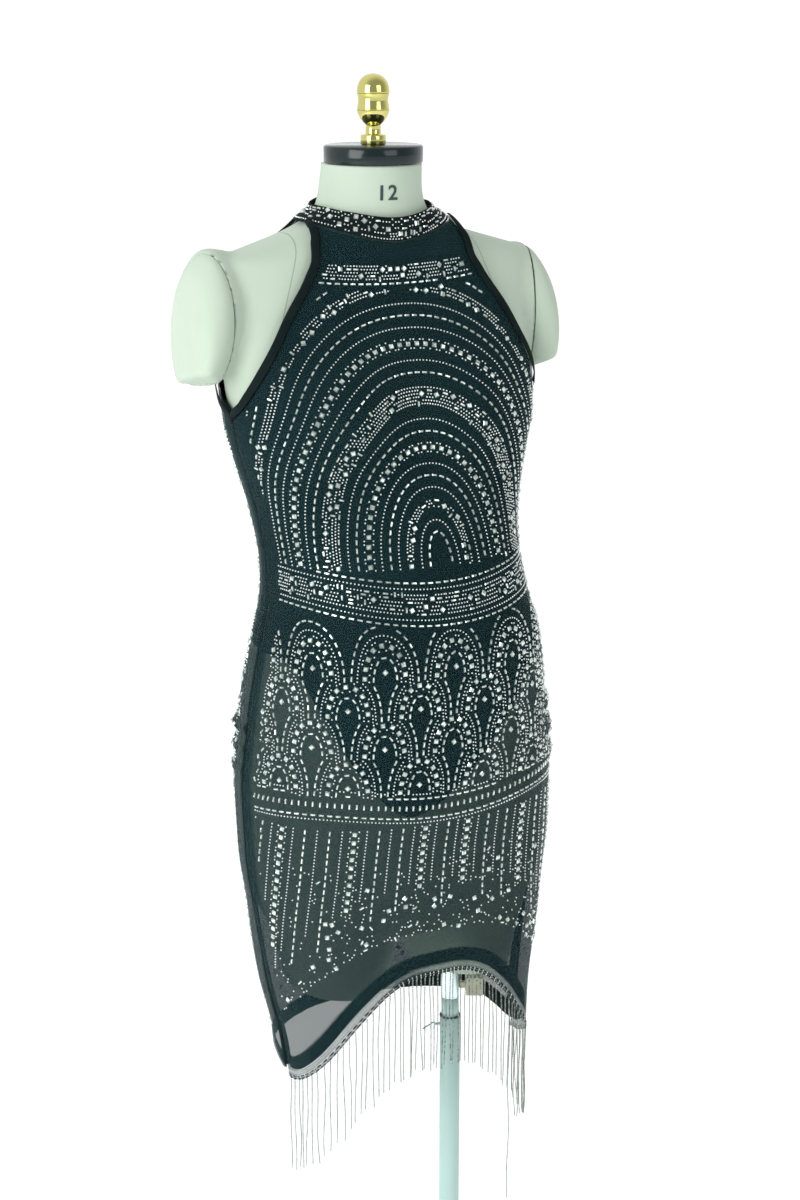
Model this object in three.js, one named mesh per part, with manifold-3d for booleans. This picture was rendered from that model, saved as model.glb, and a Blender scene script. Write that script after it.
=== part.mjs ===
// Sleeveless halter dress with a rhinestone-strand fringe, standing on a limbless dress form.
// Millimetres, +Z up. The origin is the centre of the base plate's underside, under the middle of the form.
// The form faces -Y, and +X is the wearer's left.
import * as THREE from 'three';
import { mergeVertices } from 'three/addons/utils/BufferGeometryUtils.js';
import Module from 'manifold-3d';

const wasm = await Module();
wasm.setup();

// ---------------------------------------------------------------- driving dimensions
const SEAM_GAP = 0.3; // between pieces that are sewn or set together
const CLOTH = 1.2; // wall of the outer mesh cloth
const LINING = 1.0; // wall of the bodysuit lining
const FORM_GAP = 2.8; // form to lining
const LINING_GAP = 1.9; // lining to cloth
const TRIM_GAP = 1.8; // cloth to a trim that lies on it
const INSIDE_GAP = 1.2; // cloth to a band on its inner side

// The form's surface, one row for each height. side: half width. line: where the side line lies
// in Y. front and back: depth from that line. round: 2 is an ellipse, and more is squarer.
// Below the form the same rows say how the skirt hangs.
const FIGURE = [
  { z: 470, side: 136, line: -28, front: 98, back: 113, round: 2.35 },
  { z: 560, side: 143, line: -24, front: 97, back: 113, round: 2.35 },
  { z: 640, side: 158, line: -13, front: 101, back: 105, round: 2.35 },
  { z: 720, side: 170, line: -11, front: 101, back: 103, round: 2.35 },
  { z: 800, side: 178, line: -6, front: 114, back: 107, round: 2.35 },
  { z: 860, side: 178, line: 0, front: 133, back: 113, round: 2.35 },
  { z: 920, side: 172, line: 2, front: 142, back: 118, round: 2.35 },
  { z: 980, side: 164, line: 0, front: 142, back: 117, round: 2.35 },
  { z: 1030, side: 155, line: -2, front: 142, back: 108, round: 2.35 },
  { z: 1080, side: 142, line: 4, front: 137, back: 97, round: 2.35 },
  { z: 1120, side: 139, line: 14, front: 130, back: 93, round: 2.35 },
  { z: 1170, side: 145, line: 21, front: 119, back: 102, round: 2.35 },
  { z: 1220, side: 158, line: 23, front: 104, back: 115, round: 2.4 },
  { z: 1270, side: 171, line: 22, front: 89, back: 123, round: 2.45 },
  { z: 1320, side: 175, line: 26, front: 75, back: 123, round: 2.45 },
  { z: 1360, side: 177, line: 32, front: 65, back: 118, round: 2.4 },
  { z: 1400, side: 186, line: 38, front: 56, back: 108, round: 2.25 },
  { z: 1425, side: 193, line: 41, front: 52, back: 96, round: 2.1 },
  { z: 1443, side: 186, line: 44, front: 51, back: 86, round: 2.0 },
  { z: 1455, side: 150, line: 47, front: 54, back: 79, round: 2.0 },
  { z: 1467, side: 110, line: 49, front: 56, back: 71, round: 2.0 },
  { z: 1479, side: 82, line: 50, front: 57, back: 61, round: 2.0 },
  { z: 1493, side: 63, line: 51, front: 57, back: 54, round: 2.0 },
  { z: 1512, side: 57, line: 51, front: 57, back: 54, round: 2.0 },
  { z: 1541, side: 55, line: 47, front: 55, back: 54, round: 2.0 },
];
const BUST = { x: 82, z: 1290, rise: 16, wide: 42, tall: 52 };

// How far a panel reaches round from its own centre line above the underarm, in degrees, where
// the armholes cut it away.
const UNDERARM = 1284;
const ARMHOLE = [
  { z: UNDERARM, front: 90, back: 90 },
  { z: 1300, front: 83.5, back: 79 },
  { z: 1325, front: 78, back: 70 },
  { z: 1355, front: 74, back: 63 },
  { z: 1390, front: 71, back: 57 },
  { z: 1425, front: 67.5, back: 54 },
  { z: 1450, front: 65.5, back: 51 },
  { z: 1462, front: 67, back: 50 },
  { z: 1470, front: 71, back: 52 },
  { z: 1478, front: 80, back: 57 },
];
const NECK_SEAM = { front: 1462, side: 1477, back: 1480 };
const COLLAR_TOP = { front: 1487, side: 1496, back: 1506 };
const COLLAR = { pieces: 36, parting: 1, thick: 2.2 }; // parting: gap between its ends at the back
const NAPE_SLIT = { depth: 110, width: 3 };
const FRONT_HEM = { middle: 667, sides: 533, bend: 3.5 };
const BACK_HEM = { middle: 543, sides: 533, bend: 30 };
// The lining's lower edge: its lowest point, in degrees from each centre line and in height, how
// high it is at the side seams, and how steeply it gets there.
const LINING_EDGE = {
  front: { turn: -18, low: 855 }, back: { turn: 0, low: 872 }, sides: 1024, steep: 1.3,
};
const BINDING = { width: 9, thick: 1.2, belowNeck: 3, inside: 0.2, pieces: 44 };
const HEM_BAND = { start: 0.4, width: 14, thick: 1.0 };
const HEM_TAPE = 6;
const FRINGE_HEADER = 5;
const HEADER_SWELL = 0.3; // the header is thicker than the cloth on each side
const FRINGE = { length: 120, thick: 2.4 };
const LOOSE_STRAND = { angle: 55, length: 255, diameter: 2.6, inside: 4 };
const COLLAR_BUTTON = { radius: 4.5, thick: 4, spacing: 14, off: 0.9 };

// The trunk draws in below the hips, and two short thighs carry on under it.
const TRUNK = { bottom: 698, full: 740, drawnIn: 0.12 };
const THIGH = [
  { z: 625, x: 80, y: -14, wide: 56, deep: 72 },
  { z: 650, x: 80, y: -13, wide: 61, deep: 78 },
  { z: 680, x: 80, y: -11, wide: 68, deep: 85 },
  { z: 710, x: 80, y: -10, wide: 78, deep: 92 },
  { z: 745, x: 78, y: -8, wide: 84, deep: 96 },
];
const SHOULDER = {
  seam: 198, // distance of the cap's seam from the middle, at the top of the shoulder
  seamTurn: 16, // degrees that each seam plane is turned to the front
  cutPoint: new THREE.Vector3(203, 37, 1313), // on the oval cut of the arm
  cutNormal: new THREE.Vector3(0.32, -0.22, -0.92),
  raised: 5, // the right shoulder stands this much higher than in the table, the left lower
};
// The arm root and shoulder cap, as oval sections across X.
const ARM_ROOT = [
  { x: 110, y: 58, z: 1390, tall: 44, deep: 40 },
  { x: 150, y: 60, z: 1387, tall: 57, deep: 45 },
  { x: 180, y: 58, z: 1382, tall: 69, deep: 56 },
  { x: 195, y: 57, z: 1374, tall: 76, deep: 62 },
  { x: 206, y: 55.5, z: 1363.5, tall: 73, deep: 60 },
  { x: 213, y: 54.5, z: 1355, tall: 68, deep: 55 },
  { x: 217.5, y: 54, z: 1347, tall: 56, deep: 45 },
  { x: 220, y: 53, z: 1342, tall: 38, deep: 30 },
];
const NECK_CAP = { radius: 54, bottom: 1541.3, top: 1560.5, y: 42, edge: 2 };
const FINIAL = [
  { radius: 13.8, z: 1560.8 },
  { radius: 13.8, z: 1570.8 },
  { radius: 8.5, z: 1571.6 },
  { radius: 8.3, z: 1582 },
  { radius: 10, z: 1583.4 },
  { radius: 13.5, z: 1588 },
  { radius: 16.6, z: 1593 },
  { radius: 17.8, z: 1597.8 },
  { radius: 16.4, z: 1605 },
  { radius: 16.4, z: 1609 },
  { radius: 17.8, z: 1615.5 },
  { radius: 17.2, z: 1622 },
  { radius: 13.6, z: 1629.5 },
  { radius: 7.6, z: 1634 },
  { radius: 0, z: 1636 },
];
const POLE = { x: 78, y: 0, radius: 12.2, top: 538 };
const INNER_POLE = { radius: 10.2, top: 563 };
const CHROME_SLEEVE = { radius: 11.2 };
const MOUTH_RING = { radius: 12.4, thick: 1.2 }; // black ring on the lower pole's mouth
// Screw that locks the poles: a shank square to the pole and a wing that droops at its end.
const WING_BOLT = { z: 528, turn: 165, radius: 2.2, reach: 7, overlap: 2 };
const WING = { long: 16, thick: 3, wide: 8, droop: 30 };
// Catch beside the sleeve: a block on a short arm.
const CATCH = { z: 578, turn: -27, middle: 29, long: 20, wide: 16, tall: 22 };
const CATCH_ARM = { wide: 6, tall: 7, overlap: 1 };
const BASE = { radius: 190, thick: 8, edge: 2 };
const SOCKET = { radius: 24, height: 40, edge: 3 };

// ---------------------------------------------------------------- materials
const finish = (color, roughness, metalness = 0) =>
  new THREE.MeshStandardMaterial({ color, roughness, metalness, side: THREE.DoubleSide });
const MESH_CLOTH = finish(0x14181a, 0.75);
const LINING_CLOTH = finish(0x0a0c0d, 0.8);
const TRIM_CLOTH = finish(0x0c0f10, 0.7);
const TAPE = finish(0x9fa8a6, 0.6);
const CUP_CHAIN = finish(0xd8dedd, 0.25, 0.8);
const FORM_COVER = finish(0xdfe4dc, 0.6);
const BLACK_CAP = finish(0x10191a, 0.2);
const BRASS = finish(0xd9b95a, 0.15, 1);
const CHROME = finish(0xdfe8ea, 0.15, 1);
const POLE_PAINT = finish(0xc9d2cd, 0.35);
const BASE_PAINT = finish(0xd9dcd8, 0.45);
const CATCH_PLASTIC = finish(0xc9c9ad, 0.5);
const BUTTON_CLOTH = finish(0x0a0d0e, 0.5);

const dress = new THREE.Group();

function add(name, geometry, material) {
  const mesh = new THREE.Mesh(geometry, material);
  mesh.name = name;
  dress.add(mesh);
}

// ---------------------------------------------------------------- numbers read off a table
// Smooth value of one column of a table at height z, with level ends.
function column(rows, key, z) {
  const last = rows.length - 1;
  if (z <= rows[0].z) return rows[0][key];
  if (z >= rows[last].z) return rows[last][key];
  let i = 0;
  while (rows[i + 1].z < z) i += 1;
  const slope = (k) => {
    if (k <= 0 || k >= last) return 0;
    const below = (rows[k][key] - rows[k - 1][key]) / (rows[k].z - rows[k - 1].z);
    const above = (rows[k + 1][key] - rows[k][key]) / (rows[k + 1].z - rows[k].z);
    if (below * above <= 0) return 0;
    return (2 * below * above) / (below + above);
  };
  const span = rows[i + 1].z - rows[i].z;
  const t = (z - rows[i].z) / span;
  const rise = t * t * (3 - 2 * t);
  return (
    rows[i][key] * (1 - rise) + rows[i + 1][key] * rise +
    span * (t * (1 - t) ** 2 * slope(i) - t * t * (1 - t) * slope(i + 1))
  );
}

const radians = THREE.MathUtils.degToRad;
const QUARTER = Math.PI / 2;

// Point of the form's surface. The angle runs from 0 at the centre front to +90 degrees
// at the wearer's left side and 180 at the centre back.
function figure(angle, z) {
  const across = Math.abs(Math.sin(angle));
  const along = Math.cos(angle);
  const side = column(FIGURE, 'side', z);
  const depth = column(FIGURE, along > 0 ? 'front' : 'back', z);
  const round = column(FIGURE, 'round', z);
  const reach = ((across / side) ** round + (Math.abs(along) / depth) ** round) ** (-1 / round);
  const x = reach * Math.sin(angle);
  const away = ((Math.abs(x) - BUST.x) / BUST.wide) ** 2 + ((z - BUST.z) / BUST.tall) ** 2;
  const bust = BUST.rise * Math.exp(-away) * Math.max(0, along) ** 0.5;
  return new THREE.Vector3(x, column(FIGURE, 'line', z) - reach * along - bust, z);
}

const STEP = 1e-3;
const slopeAcross = (angle, z) =>
  figure(angle + STEP, z).sub(figure(angle - STEP, z)).divideScalar(2 * STEP);
const slopeUp = (angle, z) => figure(angle, z + 0.5).sub(figure(angle, z - 0.5));
const outward = (angle, z) => slopeAcross(angle, z).cross(slopeUp(angle, z)).normalize();

// The same point, moved out from the form.
const offFigure = (angle, z, out) =>
  figure(angle, z).addScaledVector(outward(angle, z), out);

// How far a panel reaches round from its own centre line at height z.
const panelReach = (z, faces) => radians(column(ARMHOLE, faces, z));

// Height of a line round the figure that has one value at the front or back and one at the sides.
const swing = (middle, sides, bend, angle) =>
  middle + (sides - middle) * Math.abs(Math.sin(angle)) ** bend;
const frontHem = (angle) => swing(FRONT_HEM.middle, FRONT_HEM.sides, FRONT_HEM.bend, angle);
const backHem = (angle) => swing(BACK_HEM.middle, BACK_HEM.sides, BACK_HEM.bend, angle);
function liningEdge(faces, angle) {
  const { turn, low } = LINING_EDGE[faces];
  const away = angle - radians(turn);
  const span = QUARTER - Math.sign(away) * radians(turn);
  const rise = THREE.MathUtils.smoothstep((LINING_EDGE.steep * Math.abs(away)) / span, 0, 1);
  return THREE.MathUtils.lerp(low, LINING_EDGE.sides, rise);
}
const neckSeam = (angle) =>
  swing(Math.cos(angle) > 0 ? NECK_SEAM.front : NECK_SEAM.back, NECK_SEAM.side, 2, angle);
const collarTop = (angle) =>
  swing(Math.cos(angle) > 0 ? COLLAR_TOP.front : COLLAR_TOP.back, COLLAR_TOP.side, 2, angle);

// ---------------------------------------------------------------- building solids
// Closed wall between an outer and an inner grid of points, both columns x rows.
function wallBetween(outer, inner, closesRound = false) {
  const columns = outer.length;
  const rows = outer[0].length;
  const positions = [];
  const index = [];
  for (const grid of [outer, inner]) {
    for (const line of grid) for (const p of line) positions.push(p.x, p.y, p.z);
  }
  const at = (layer, i, j) => layer * columns * rows + (i % columns) * rows + j;
  const quad = (a, b, c, d) => index.push(a, b, c, a, c, d);
  const lastColumn = closesRound ? columns : columns - 1;
  for (let i = 0; i < lastColumn; i += 1) {
    // Every face is split from its lower corner nearer the middle column, so both halves match.
    const turn = i < (columns - 1) / 2 ? 1 : 0;
    for (let j = 0; j < rows - 1; j += 1) {
      for (const layer of [0, 1]) {
        const corners = [at(layer, i, j), at(layer, i + 1, j), at(layer, i + 1, j + 1), at(layer, i, j + 1)];
        const [a, b, c, d] = turn ? [...corners.slice(1), corners[0]] : corners;
        if (layer === 0) quad(a, b, c, d);
        else quad(a, d, c, b);
      }
    }
    quad(at(1, i, 0), at(1, i + 1, 0), at(0, i + 1, 0), at(0, i, 0));
    const top = rows - 1;
    quad(at(0, i, top), at(0, i + 1, top), at(1, i + 1, top), at(1, i, top));
  }
  if (!closesRound) {
    for (let j = 0; j < rows - 1; j += 1) {
      const end = columns - 1;
      quad(at(0, 0, j), at(0, 0, j + 1), at(1, 0, j + 1), at(1, 0, j));
      quad(at(0, end, j), at(1, end, j), at(1, end, j + 1), at(0, end, j + 1));
    }
  }
  const geometry = new THREE.BufferGeometry();
  geometry.setAttribute('position', new THREE.Float32BufferAttribute(positions, 3));
  geometry.setIndex(index);
  geometry.computeVertexNormals();
  return geometry;
}

// Cloth over the figure: place(i, j) gives the angle and height, and the wall lies between
// two distances off the form.
function clothWall(columns, rows, place, innerOff, outerOff, closesRound = false) {
  const layer = (out) =>
    Array.from({ length: columns }, (_, i) =>
      Array.from({ length: rows }, (_, j) => {
        const { angle, z } = place(i, j);
        return offFigure(angle, z, out);
      }),
    );
  return wallBetween(layer(outerOff), layer(innerOff), closesRound);
}

// Solid stacked from closed rings of points, with flat ends.
function stackedRings(rings) {
  const count = rings[0].length;
  const positions = rings.flat().flatMap((p) => [p.x, p.y, p.z]);
  const index = [];
  for (let k = 0; k < rings.length - 1; k += 1) {
    for (let i = 0; i < count; i += 1) {
      const a = k * count + i;
      const b = k * count + ((i + 1) % count);
      index.push(a, b, b + count, a, b + count, a + count);
    }
  }
  const capEnd = (ring, start, flip) => {
    const middle = ring.reduce((sum, p) => sum.add(p), new THREE.Vector3()).divideScalar(count);
    const centre = positions.length / 3;
    positions.push(middle.x, middle.y, middle.z);
    for (let i = 0; i < count; i += 1) {
      const a = start + i;
      const b = start + ((i + 1) % count);
      index.push(...(flip ? [centre, b, a] : [centre, a, b]));
    }
  };
  capEnd(rings[0], 0, true);
  capEnd(rings[rings.length - 1], (rings.length - 1) * count, false);
  const geometry = new THREE.BufferGeometry();
  geometry.setAttribute('position', new THREE.Float32BufferAttribute(positions, 3));
  geometry.setIndex(index);
  return geometry;
}

function toManifold(geometry) {
  const bare = geometry.clone();
  bare.deleteAttribute('normal');
  bare.deleteAttribute('uv');
  const merged = mergeVertices(bare, 1e-4);
  return new wasm.Manifold(
    new wasm.Mesh({
      numProp: 3,
      vertProperties: new Float32Array(merged.attributes.position.array),
      triVerts: new Uint32Array(merged.index.array),
    }),
  );
}

function fromManifold(solid) {
  const mesh = solid.getMesh();
  const geometry = new THREE.BufferGeometry();
  geometry.setAttribute('position', new THREE.Float32BufferAttribute(mesh.vertProperties, 3));
  geometry.setIndex(Array.from(mesh.triVerts));
  geometry.computeVertexNormals();
  return geometry;
}

function mirrored(geometry) {
  const copy = geometry.clone().scale(-1, 1, 1);
  const turned = copy.index.array.slice();
  for (let k = 0; k < turned.length; k += 3) {
    const first = turned[k];
    turned[k] = turned[k + 1];
    turned[k + 1] = first;
  }
  copy.setIndex(Array.from(turned));
  copy.computeVertexNormals();
  return copy;
}

// Turned solid about a vertical axis: profile is a list of [radius, z].
function turned(profile, x, y, segments = 32) {
  const geometry = new THREE.LatheGeometry(
    profile.map(([radius, z]) => new THREE.Vector2(radius, z)),
    segments,
  );
  return geometry.rotateX(QUARTER).translate(x, y, 0);
}

const rod = (radius, bottom, top, x, y, segments) =>
  turned([[0, bottom], [radius, bottom], [radius, top], [0, top]], x, y, segments);

// ---------------------------------------------------------------- the dress form
const RING_POINTS = 40;
const BODY_START = 715;
const SHOULDER_START = 1401;
const NECK_TOP = 1541;
const BODY_RINGS = 22;
const NECK_RINGS = 14;

// Point of the trunk: the figure, drawn in towards its side line at the lower end.
function trunk(angle, z) {
  const low = Math.max(0, TRUNK.full - z) / (TRUNK.full - TRUNK.bottom);
  const scale = 1 - TRUNK.drawnIn * low ** 2;
  const point = figure(angle, z);
  const line = column(FIGURE, 'line', z);
  return point.set(point.x * scale, line + (point.y - line) * scale, z);
}

function formTorso() {
  const levels = [TRUNK.bottom];
  for (let n = 0; n <= BODY_RINGS; n += 1) {
    levels.push(THREE.MathUtils.lerp(BODY_START, SHOULDER_START, n / BODY_RINGS));
  }
  for (let n = 1; n <= NECK_RINGS; n += 1) {
    levels.push(THREE.MathUtils.lerp(SHOULDER_START, NECK_TOP, n / NECK_RINGS));
  }
  return stackedRings(
    levels.map((z) =>
      Array.from({ length: RING_POINTS }, (_, i) => trunk((i / RING_POINTS) * 4 * QUARTER, z)),
    ),
  );
}

function thigh() {
  const points = 32;
  const rings = THIGH.map((row) =>
    Array.from({ length: points }, (_, i) => {
      const turn = (i / points) * 4 * QUARTER;
      return new THREE.Vector3(
        row.x + row.wide * Math.sin(turn),
        row.y - row.deep * Math.cos(turn),
        row.z,
      );
    }),
  );
  return stackedRings(rings);
}

function armRoot() {
  const points = 28;
  const rings = ARM_ROOT.map((row) =>
    Array.from({ length: points }, (_, i) => {
      const turn = (i / points) * 4 * QUARTER;
      return new THREE.Vector3(
        row.x,
        row.y + row.deep * Math.cos(turn),
        row.z + row.tall * Math.sin(turn),
      );
    }),
  );
  return stackedRings(rings);
}

// Big slab whose face lies on a plane, on the side that the normal points to.
function slabBeyond(point, normal) {
  const size = 400;
  const slab = new THREE.BoxGeometry(size, size, size).translate(0, 0, size / 2);
  slab.applyQuaternion(
    new THREE.Quaternion().setFromUnitVectors(new THREE.Vector3(0, 0, 1), normal.clone().normalize()),
  );
  return toManifold(slab.translate(point.x, point.y, point.z));
}

function dressForm() {
  const arm = toManifold(armRoot());
  const cutArm = fromManifold(arm.subtract(slabBeyond(SHOULDER.cutPoint, SHOULDER.cutNormal)));
  const seamNormal = new THREE.Vector3(
    Math.cos(radians(SHOULDER.seamTurn)), -Math.sin(radians(SHOULDER.seamTurn)), 0,
  );
  const seamPoint = new THREE.Vector3(SHOULDER.seam, ARM_ROOT[3].y, ARM_ROOT[3].z);
  const beyond = fromManifold(slabBeyond(seamPoint, seamNormal));
  const pastGap = fromManifold(
    slabBeyond(seamPoint.clone().addScaledVector(seamNormal, SEAM_GAP), seamNormal),
  );
  const thighs = toManifold(thigh()).add(toManifold(mirrored(thigh())));
  const whole = toManifold(formTorso())
    .add(thighs)
    .add(toManifold(cutArm.clone().translate(0, 0, -SHOULDER.raised)))
    .add(toManifold(mirrored(cutArm).translate(0, 0, SHOULDER.raised)));
  const torso = whole.subtract(toManifold(beyond)).subtract(toManifold(mirrored(beyond)));
  add('form_torso', fromManifold(torso), FORM_COVER);
  add('form_shoulder_cap_left', fromManifold(whole.intersect(toManifold(pastGap))), FORM_COVER);
  add('form_shoulder_cap_right', fromManifold(whole.intersect(toManifold(mirrored(pastGap)))), FORM_COVER);
}

function neckCapAndFinial() {
  const { radius, bottom, top, y, edge } = NECK_CAP;
  const profile = [
    [0, bottom], [radius, bottom], [radius, top - edge], [radius - edge, top], [0, top],
  ];
  add('neck_cap', turned(profile, 0, y, 36), BLACK_CAP);
  const finial = [[0, FINIAL[0].z], ...FINIAL.map((row) => [row.radius, row.z])];
  add('finial', turned(finial, 0, y, 20), BRASS);
}

// ---------------------------------------------------------------- the stand
function stand() {
  const { x, y } = POLE;
  const plateTop = BASE.thick;
  const plate = [
    [0, 0], [BASE.radius, 0], [BASE.radius, plateTop - BASE.edge],
    [BASE.radius - BASE.edge, plateTop], [0, plateTop],
  ];
  add('base_plate', turned(plate, 0, 0, 48), BASE_PAINT);
  const hole = POLE.radius + SEAM_GAP;
  const floor = plateTop + SEAM_GAP;
  const collar = [
    [hole, floor], [SOCKET.radius, floor], [SOCKET.radius, SOCKET.height - SOCKET.edge],
    [SOCKET.radius - SOCKET.edge, SOCKET.height], [hole, SOCKET.height], [hole, floor],
  ];
  add('base_socket', turned(collar, x, y, 24), BASE_PAINT);
  add('pole_lower', rod(POLE.radius, floor, POLE.top, x, y, 24), POLE_PAINT);
  const upper = POLE.top + SEAM_GAP;
  add('pole_upper', rod(INNER_POLE.radius, upper, INNER_POLE.top, x, y, 24), POLE_PAINT);
  const sleeveBottom = INNER_POLE.top + SEAM_GAP;
  const sleeveTop = THIGH[0].z - SEAM_GAP;
  add('pole_sleeve', rod(CHROME_SLEEVE.radius, sleeveBottom, sleeveTop, x, y, 24), CHROME);
}

function poleFittings() {
  const { x, y } = POLE;
  const hole = INNER_POLE.radius + SEAM_GAP;
  const low = POLE.top + SEAM_GAP;
  const high = low + MOUTH_RING.thick;
  const ring = [[hole, low], [MOUTH_RING.radius, low], [MOUTH_RING.radius, high], [hole, high], [hole, low]];
  add('pole_ring', turned(ring, x, y, 24), TRIM_CLOTH);

  const start = POLE.radius + SEAM_GAP;
  const shank = new THREE.CylinderGeometry(WING_BOLT.radius, WING_BOLT.radius, WING_BOLT.reach, 12);
  shank.rotateZ(QUARTER).translate(start + WING_BOLT.reach / 2, 0, 0);
  const wing = new THREE.BoxGeometry(WING.long, WING.thick, WING.wide);
  wing.translate(WING.long / 2, 0, 0).rotateY(radians(WING.droop));
  wing.translate(start + WING_BOLT.reach - WING_BOLT.overlap, 0, 0);
  const bolt = fromManifold(toManifold(shank).add(toManifold(wing)));
  add('wing_bolt', bolt.rotateZ(radians(WING_BOLT.turn)).translate(x, y, WING_BOLT.z), CHROME);

  const block = new THREE.BoxGeometry(CATCH.long, CATCH.wide, CATCH.tall).translate(CATCH.middle, 0, 0);
  const armStart = CHROME_SLEEVE.radius + SEAM_GAP;
  const armEnd = CATCH.middle - CATCH.long / 2 + CATCH_ARM.overlap;
  const arm = new THREE.BoxGeometry(armEnd - armStart, CATCH_ARM.wide, CATCH_ARM.tall);
  arm.translate((armStart + armEnd) / 2, 0, 0);
  const held = fromManifold(toManifold(block).add(toManifold(arm)));
  add('pole_catch', held.rotateZ(radians(CATCH.turn)).translate(x, y, CATCH.z), CATCH_PLASTIC);
}

// ---------------------------------------------------------------- the lining
const YOKE_ROWS = 11;
const LINING_OFF = FORM_GAP;
const CLOTH_OFF = LINING_OFF + LINING + LINING_GAP;
const CLOTH_OUT = CLOTH_OFF + CLOTH;
const LINING_COLUMNS = 21;
// The lining's neck is this far below the cloth's, and its armholes this many degrees inside.
const LINING_INSET = { neck: 6, reach: 6 };

// Panels stop short of the side lines and of each other by half the seam gap.
function seamed(reach, z, faces) {
  const centre = faces === 'front' ? 0 : Math.PI;
  const width = figure(centre + QUARTER, z).x;
  return reach - SEAM_GAP / 2 / Math.max(width, 40);
}

// Height of the neck seam at the top of a panel's column s, which leans in with the armhole.
function topOf(faces, s) {
  const centre = faces === 'front' ? 0 : Math.PI;
  let z = NECK_SEAM.side;
  for (let n = 0; n < 12; n += 1) z = neckSeam(centre + s * panelReach(z, faces));
  return z;
}

// Rows above the underarm: close together at both ends.
const yokeRow = (from, to, t) => THREE.MathUtils.lerp(from, to, (1 - Math.cos(Math.PI * t)) / 2);

// Lining from its curved lower edge to just inside the cloth's armholes and neck.
function lining(faces) {
  const underarmRow = 12;
  const rows = 1 + underarmRow + YOKE_ROWS;
  const centre = faces === 'front' ? 0 : Math.PI;
  const place = (i, j) => {
    const s = (2 * i) / (LINING_COLUMNS - 1) - 1;
    const bottom = liningEdge(faces, s * QUARTER);
    const top = topOf(faces, s) - LINING_INSET.neck;
    const below = UNDERARM - LINING_INSET.neck;
    const z = j <= underarmRow
      ? THREE.MathUtils.lerp(bottom, below, j / underarmRow)
      : yokeRow(below, top, (j - underarmRow) / YOKE_ROWS);
    const inset = LINING_INSET.reach * THREE.MathUtils.smoothstep(z, below, UNDERARM);
    const reach = panelReach(z, faces) - radians(inset);
    return { angle: centre + s * seamed(reach, z, faces), z };
  };
  return clothWall(LINING_COLUMNS, rows, place, LINING_OFF, LINING_OFF + LINING);
}

// ---------------------------------------------------------------- the outer cloth
const PANEL_COLUMNS = 21;
const SKIRT_ROWS = 16;

function panelPlace(faces, i, j) {
  const centre = faces === 'front' ? 0 : Math.PI;
  const s = (2 * i) / (PANEL_COLUMNS - 1) - 1;
  const hem = faces === 'front' ? frontHem(s * QUARTER) : backHem(s * QUARTER);
  const z = j <= SKIRT_ROWS
    ? THREE.MathUtils.lerp(hem, UNDERARM, j / SKIRT_ROWS)
    : yokeRow(UNDERARM, topOf(faces, s), (j - SKIRT_ROWS) / YOKE_ROWS);
  return { angle: centre + s * seamed(panelReach(z, faces), z, faces), z };
}

const panel = (faces) =>
  clothWall(
    PANEL_COLUMNS, SKIRT_ROWS + YOKE_ROWS + 1,
    (i, j) => panelPlace(faces, i, j), CLOTH_OFF, CLOTH_OUT,
  );

// Back panel with a short slit at the nape, so that the collar can open.
function backPanel() {
  const slit = new THREE.BoxGeometry(NAPE_SLIT.width, 200, NAPE_SLIT.depth * 2);
  slit.translate(0, 200, NECK_SEAM.back);
  return fromManifold(toManifold(panel('back')).subtract(toManifold(slit)));
}

// ---------------------------------------------------------------- trims along an edge
// Point of the figure at a distance from an edge, square to it. A positive distance goes to
// the left of the edge's direction, seen from outside.
function besideEdge(edge, u, distance) {
  let { angle, z } = edge(u);
  const before = edge(Math.max(0, u - STEP));
  const after = edge(Math.min(1, u + STEP));
  const tangent = figure(after.angle, after.z).sub(figure(before.angle, before.z)).normalize();
  const parts = 3;
  for (let n = 0; n < parts; n += 1) {
    const across = slopeAcross(angle, z);
    const up = slopeUp(angle, z);
    const normal = across.clone().cross(up).normalize();
    const way = normal.clone().cross(tangent).normalize().multiplyScalar(distance / parts);
    const aa = across.dot(across);
    const ab = across.dot(up);
    const bb = up.dot(up);
    const determinant = aa * bb - ab * ab;
    angle += (way.dot(across) * bb - way.dot(up) * ab) / determinant;
    z += (way.dot(up) * aa - way.dot(across) * ab) / determinant;
  }
  return { angle, z };
}

// Strip of cloth that follows an edge between two distances from it.
function strip(edge, pieces, from, to, innerOff, outerOff) {
  const place = (i, j) => besideEdge(edge, i / pieces, j === 0 ? from : to);
  return clothWall(pieces + 1, 2, place, innerOff, outerOff);
}

// Left armhole, from the front of the collar down to the underarm and up to the back.
function armholeEdge(u) {
  const top = ARMHOLE[ARMHOLE.length - 1].z - BINDING.belowNeck;
  const faces = u < 0.5 ? 'front' : 'back';
  const drop = 1 - Math.abs(2 * u - 1);
  const z = THREE.MathUtils.lerp(top, UNDERARM, Math.sin(drop * QUARTER));
  const reach = panelReach(z, faces);
  return { angle: faces === 'front' ? reach : Math.PI - reach, z };
}

function armholeBindings() {
  const off = CLOTH_OUT + TRIM_GAP;
  const left = strip(
    armholeEdge, BINDING.pieces, -BINDING.width, -BINDING.inside, off, off + BINDING.thick,
  );
  add('armhole_binding_left', left, TRIM_CLOTH);
  add('armhole_binding_right', mirrored(left), TRIM_CLOTH);
}

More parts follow.
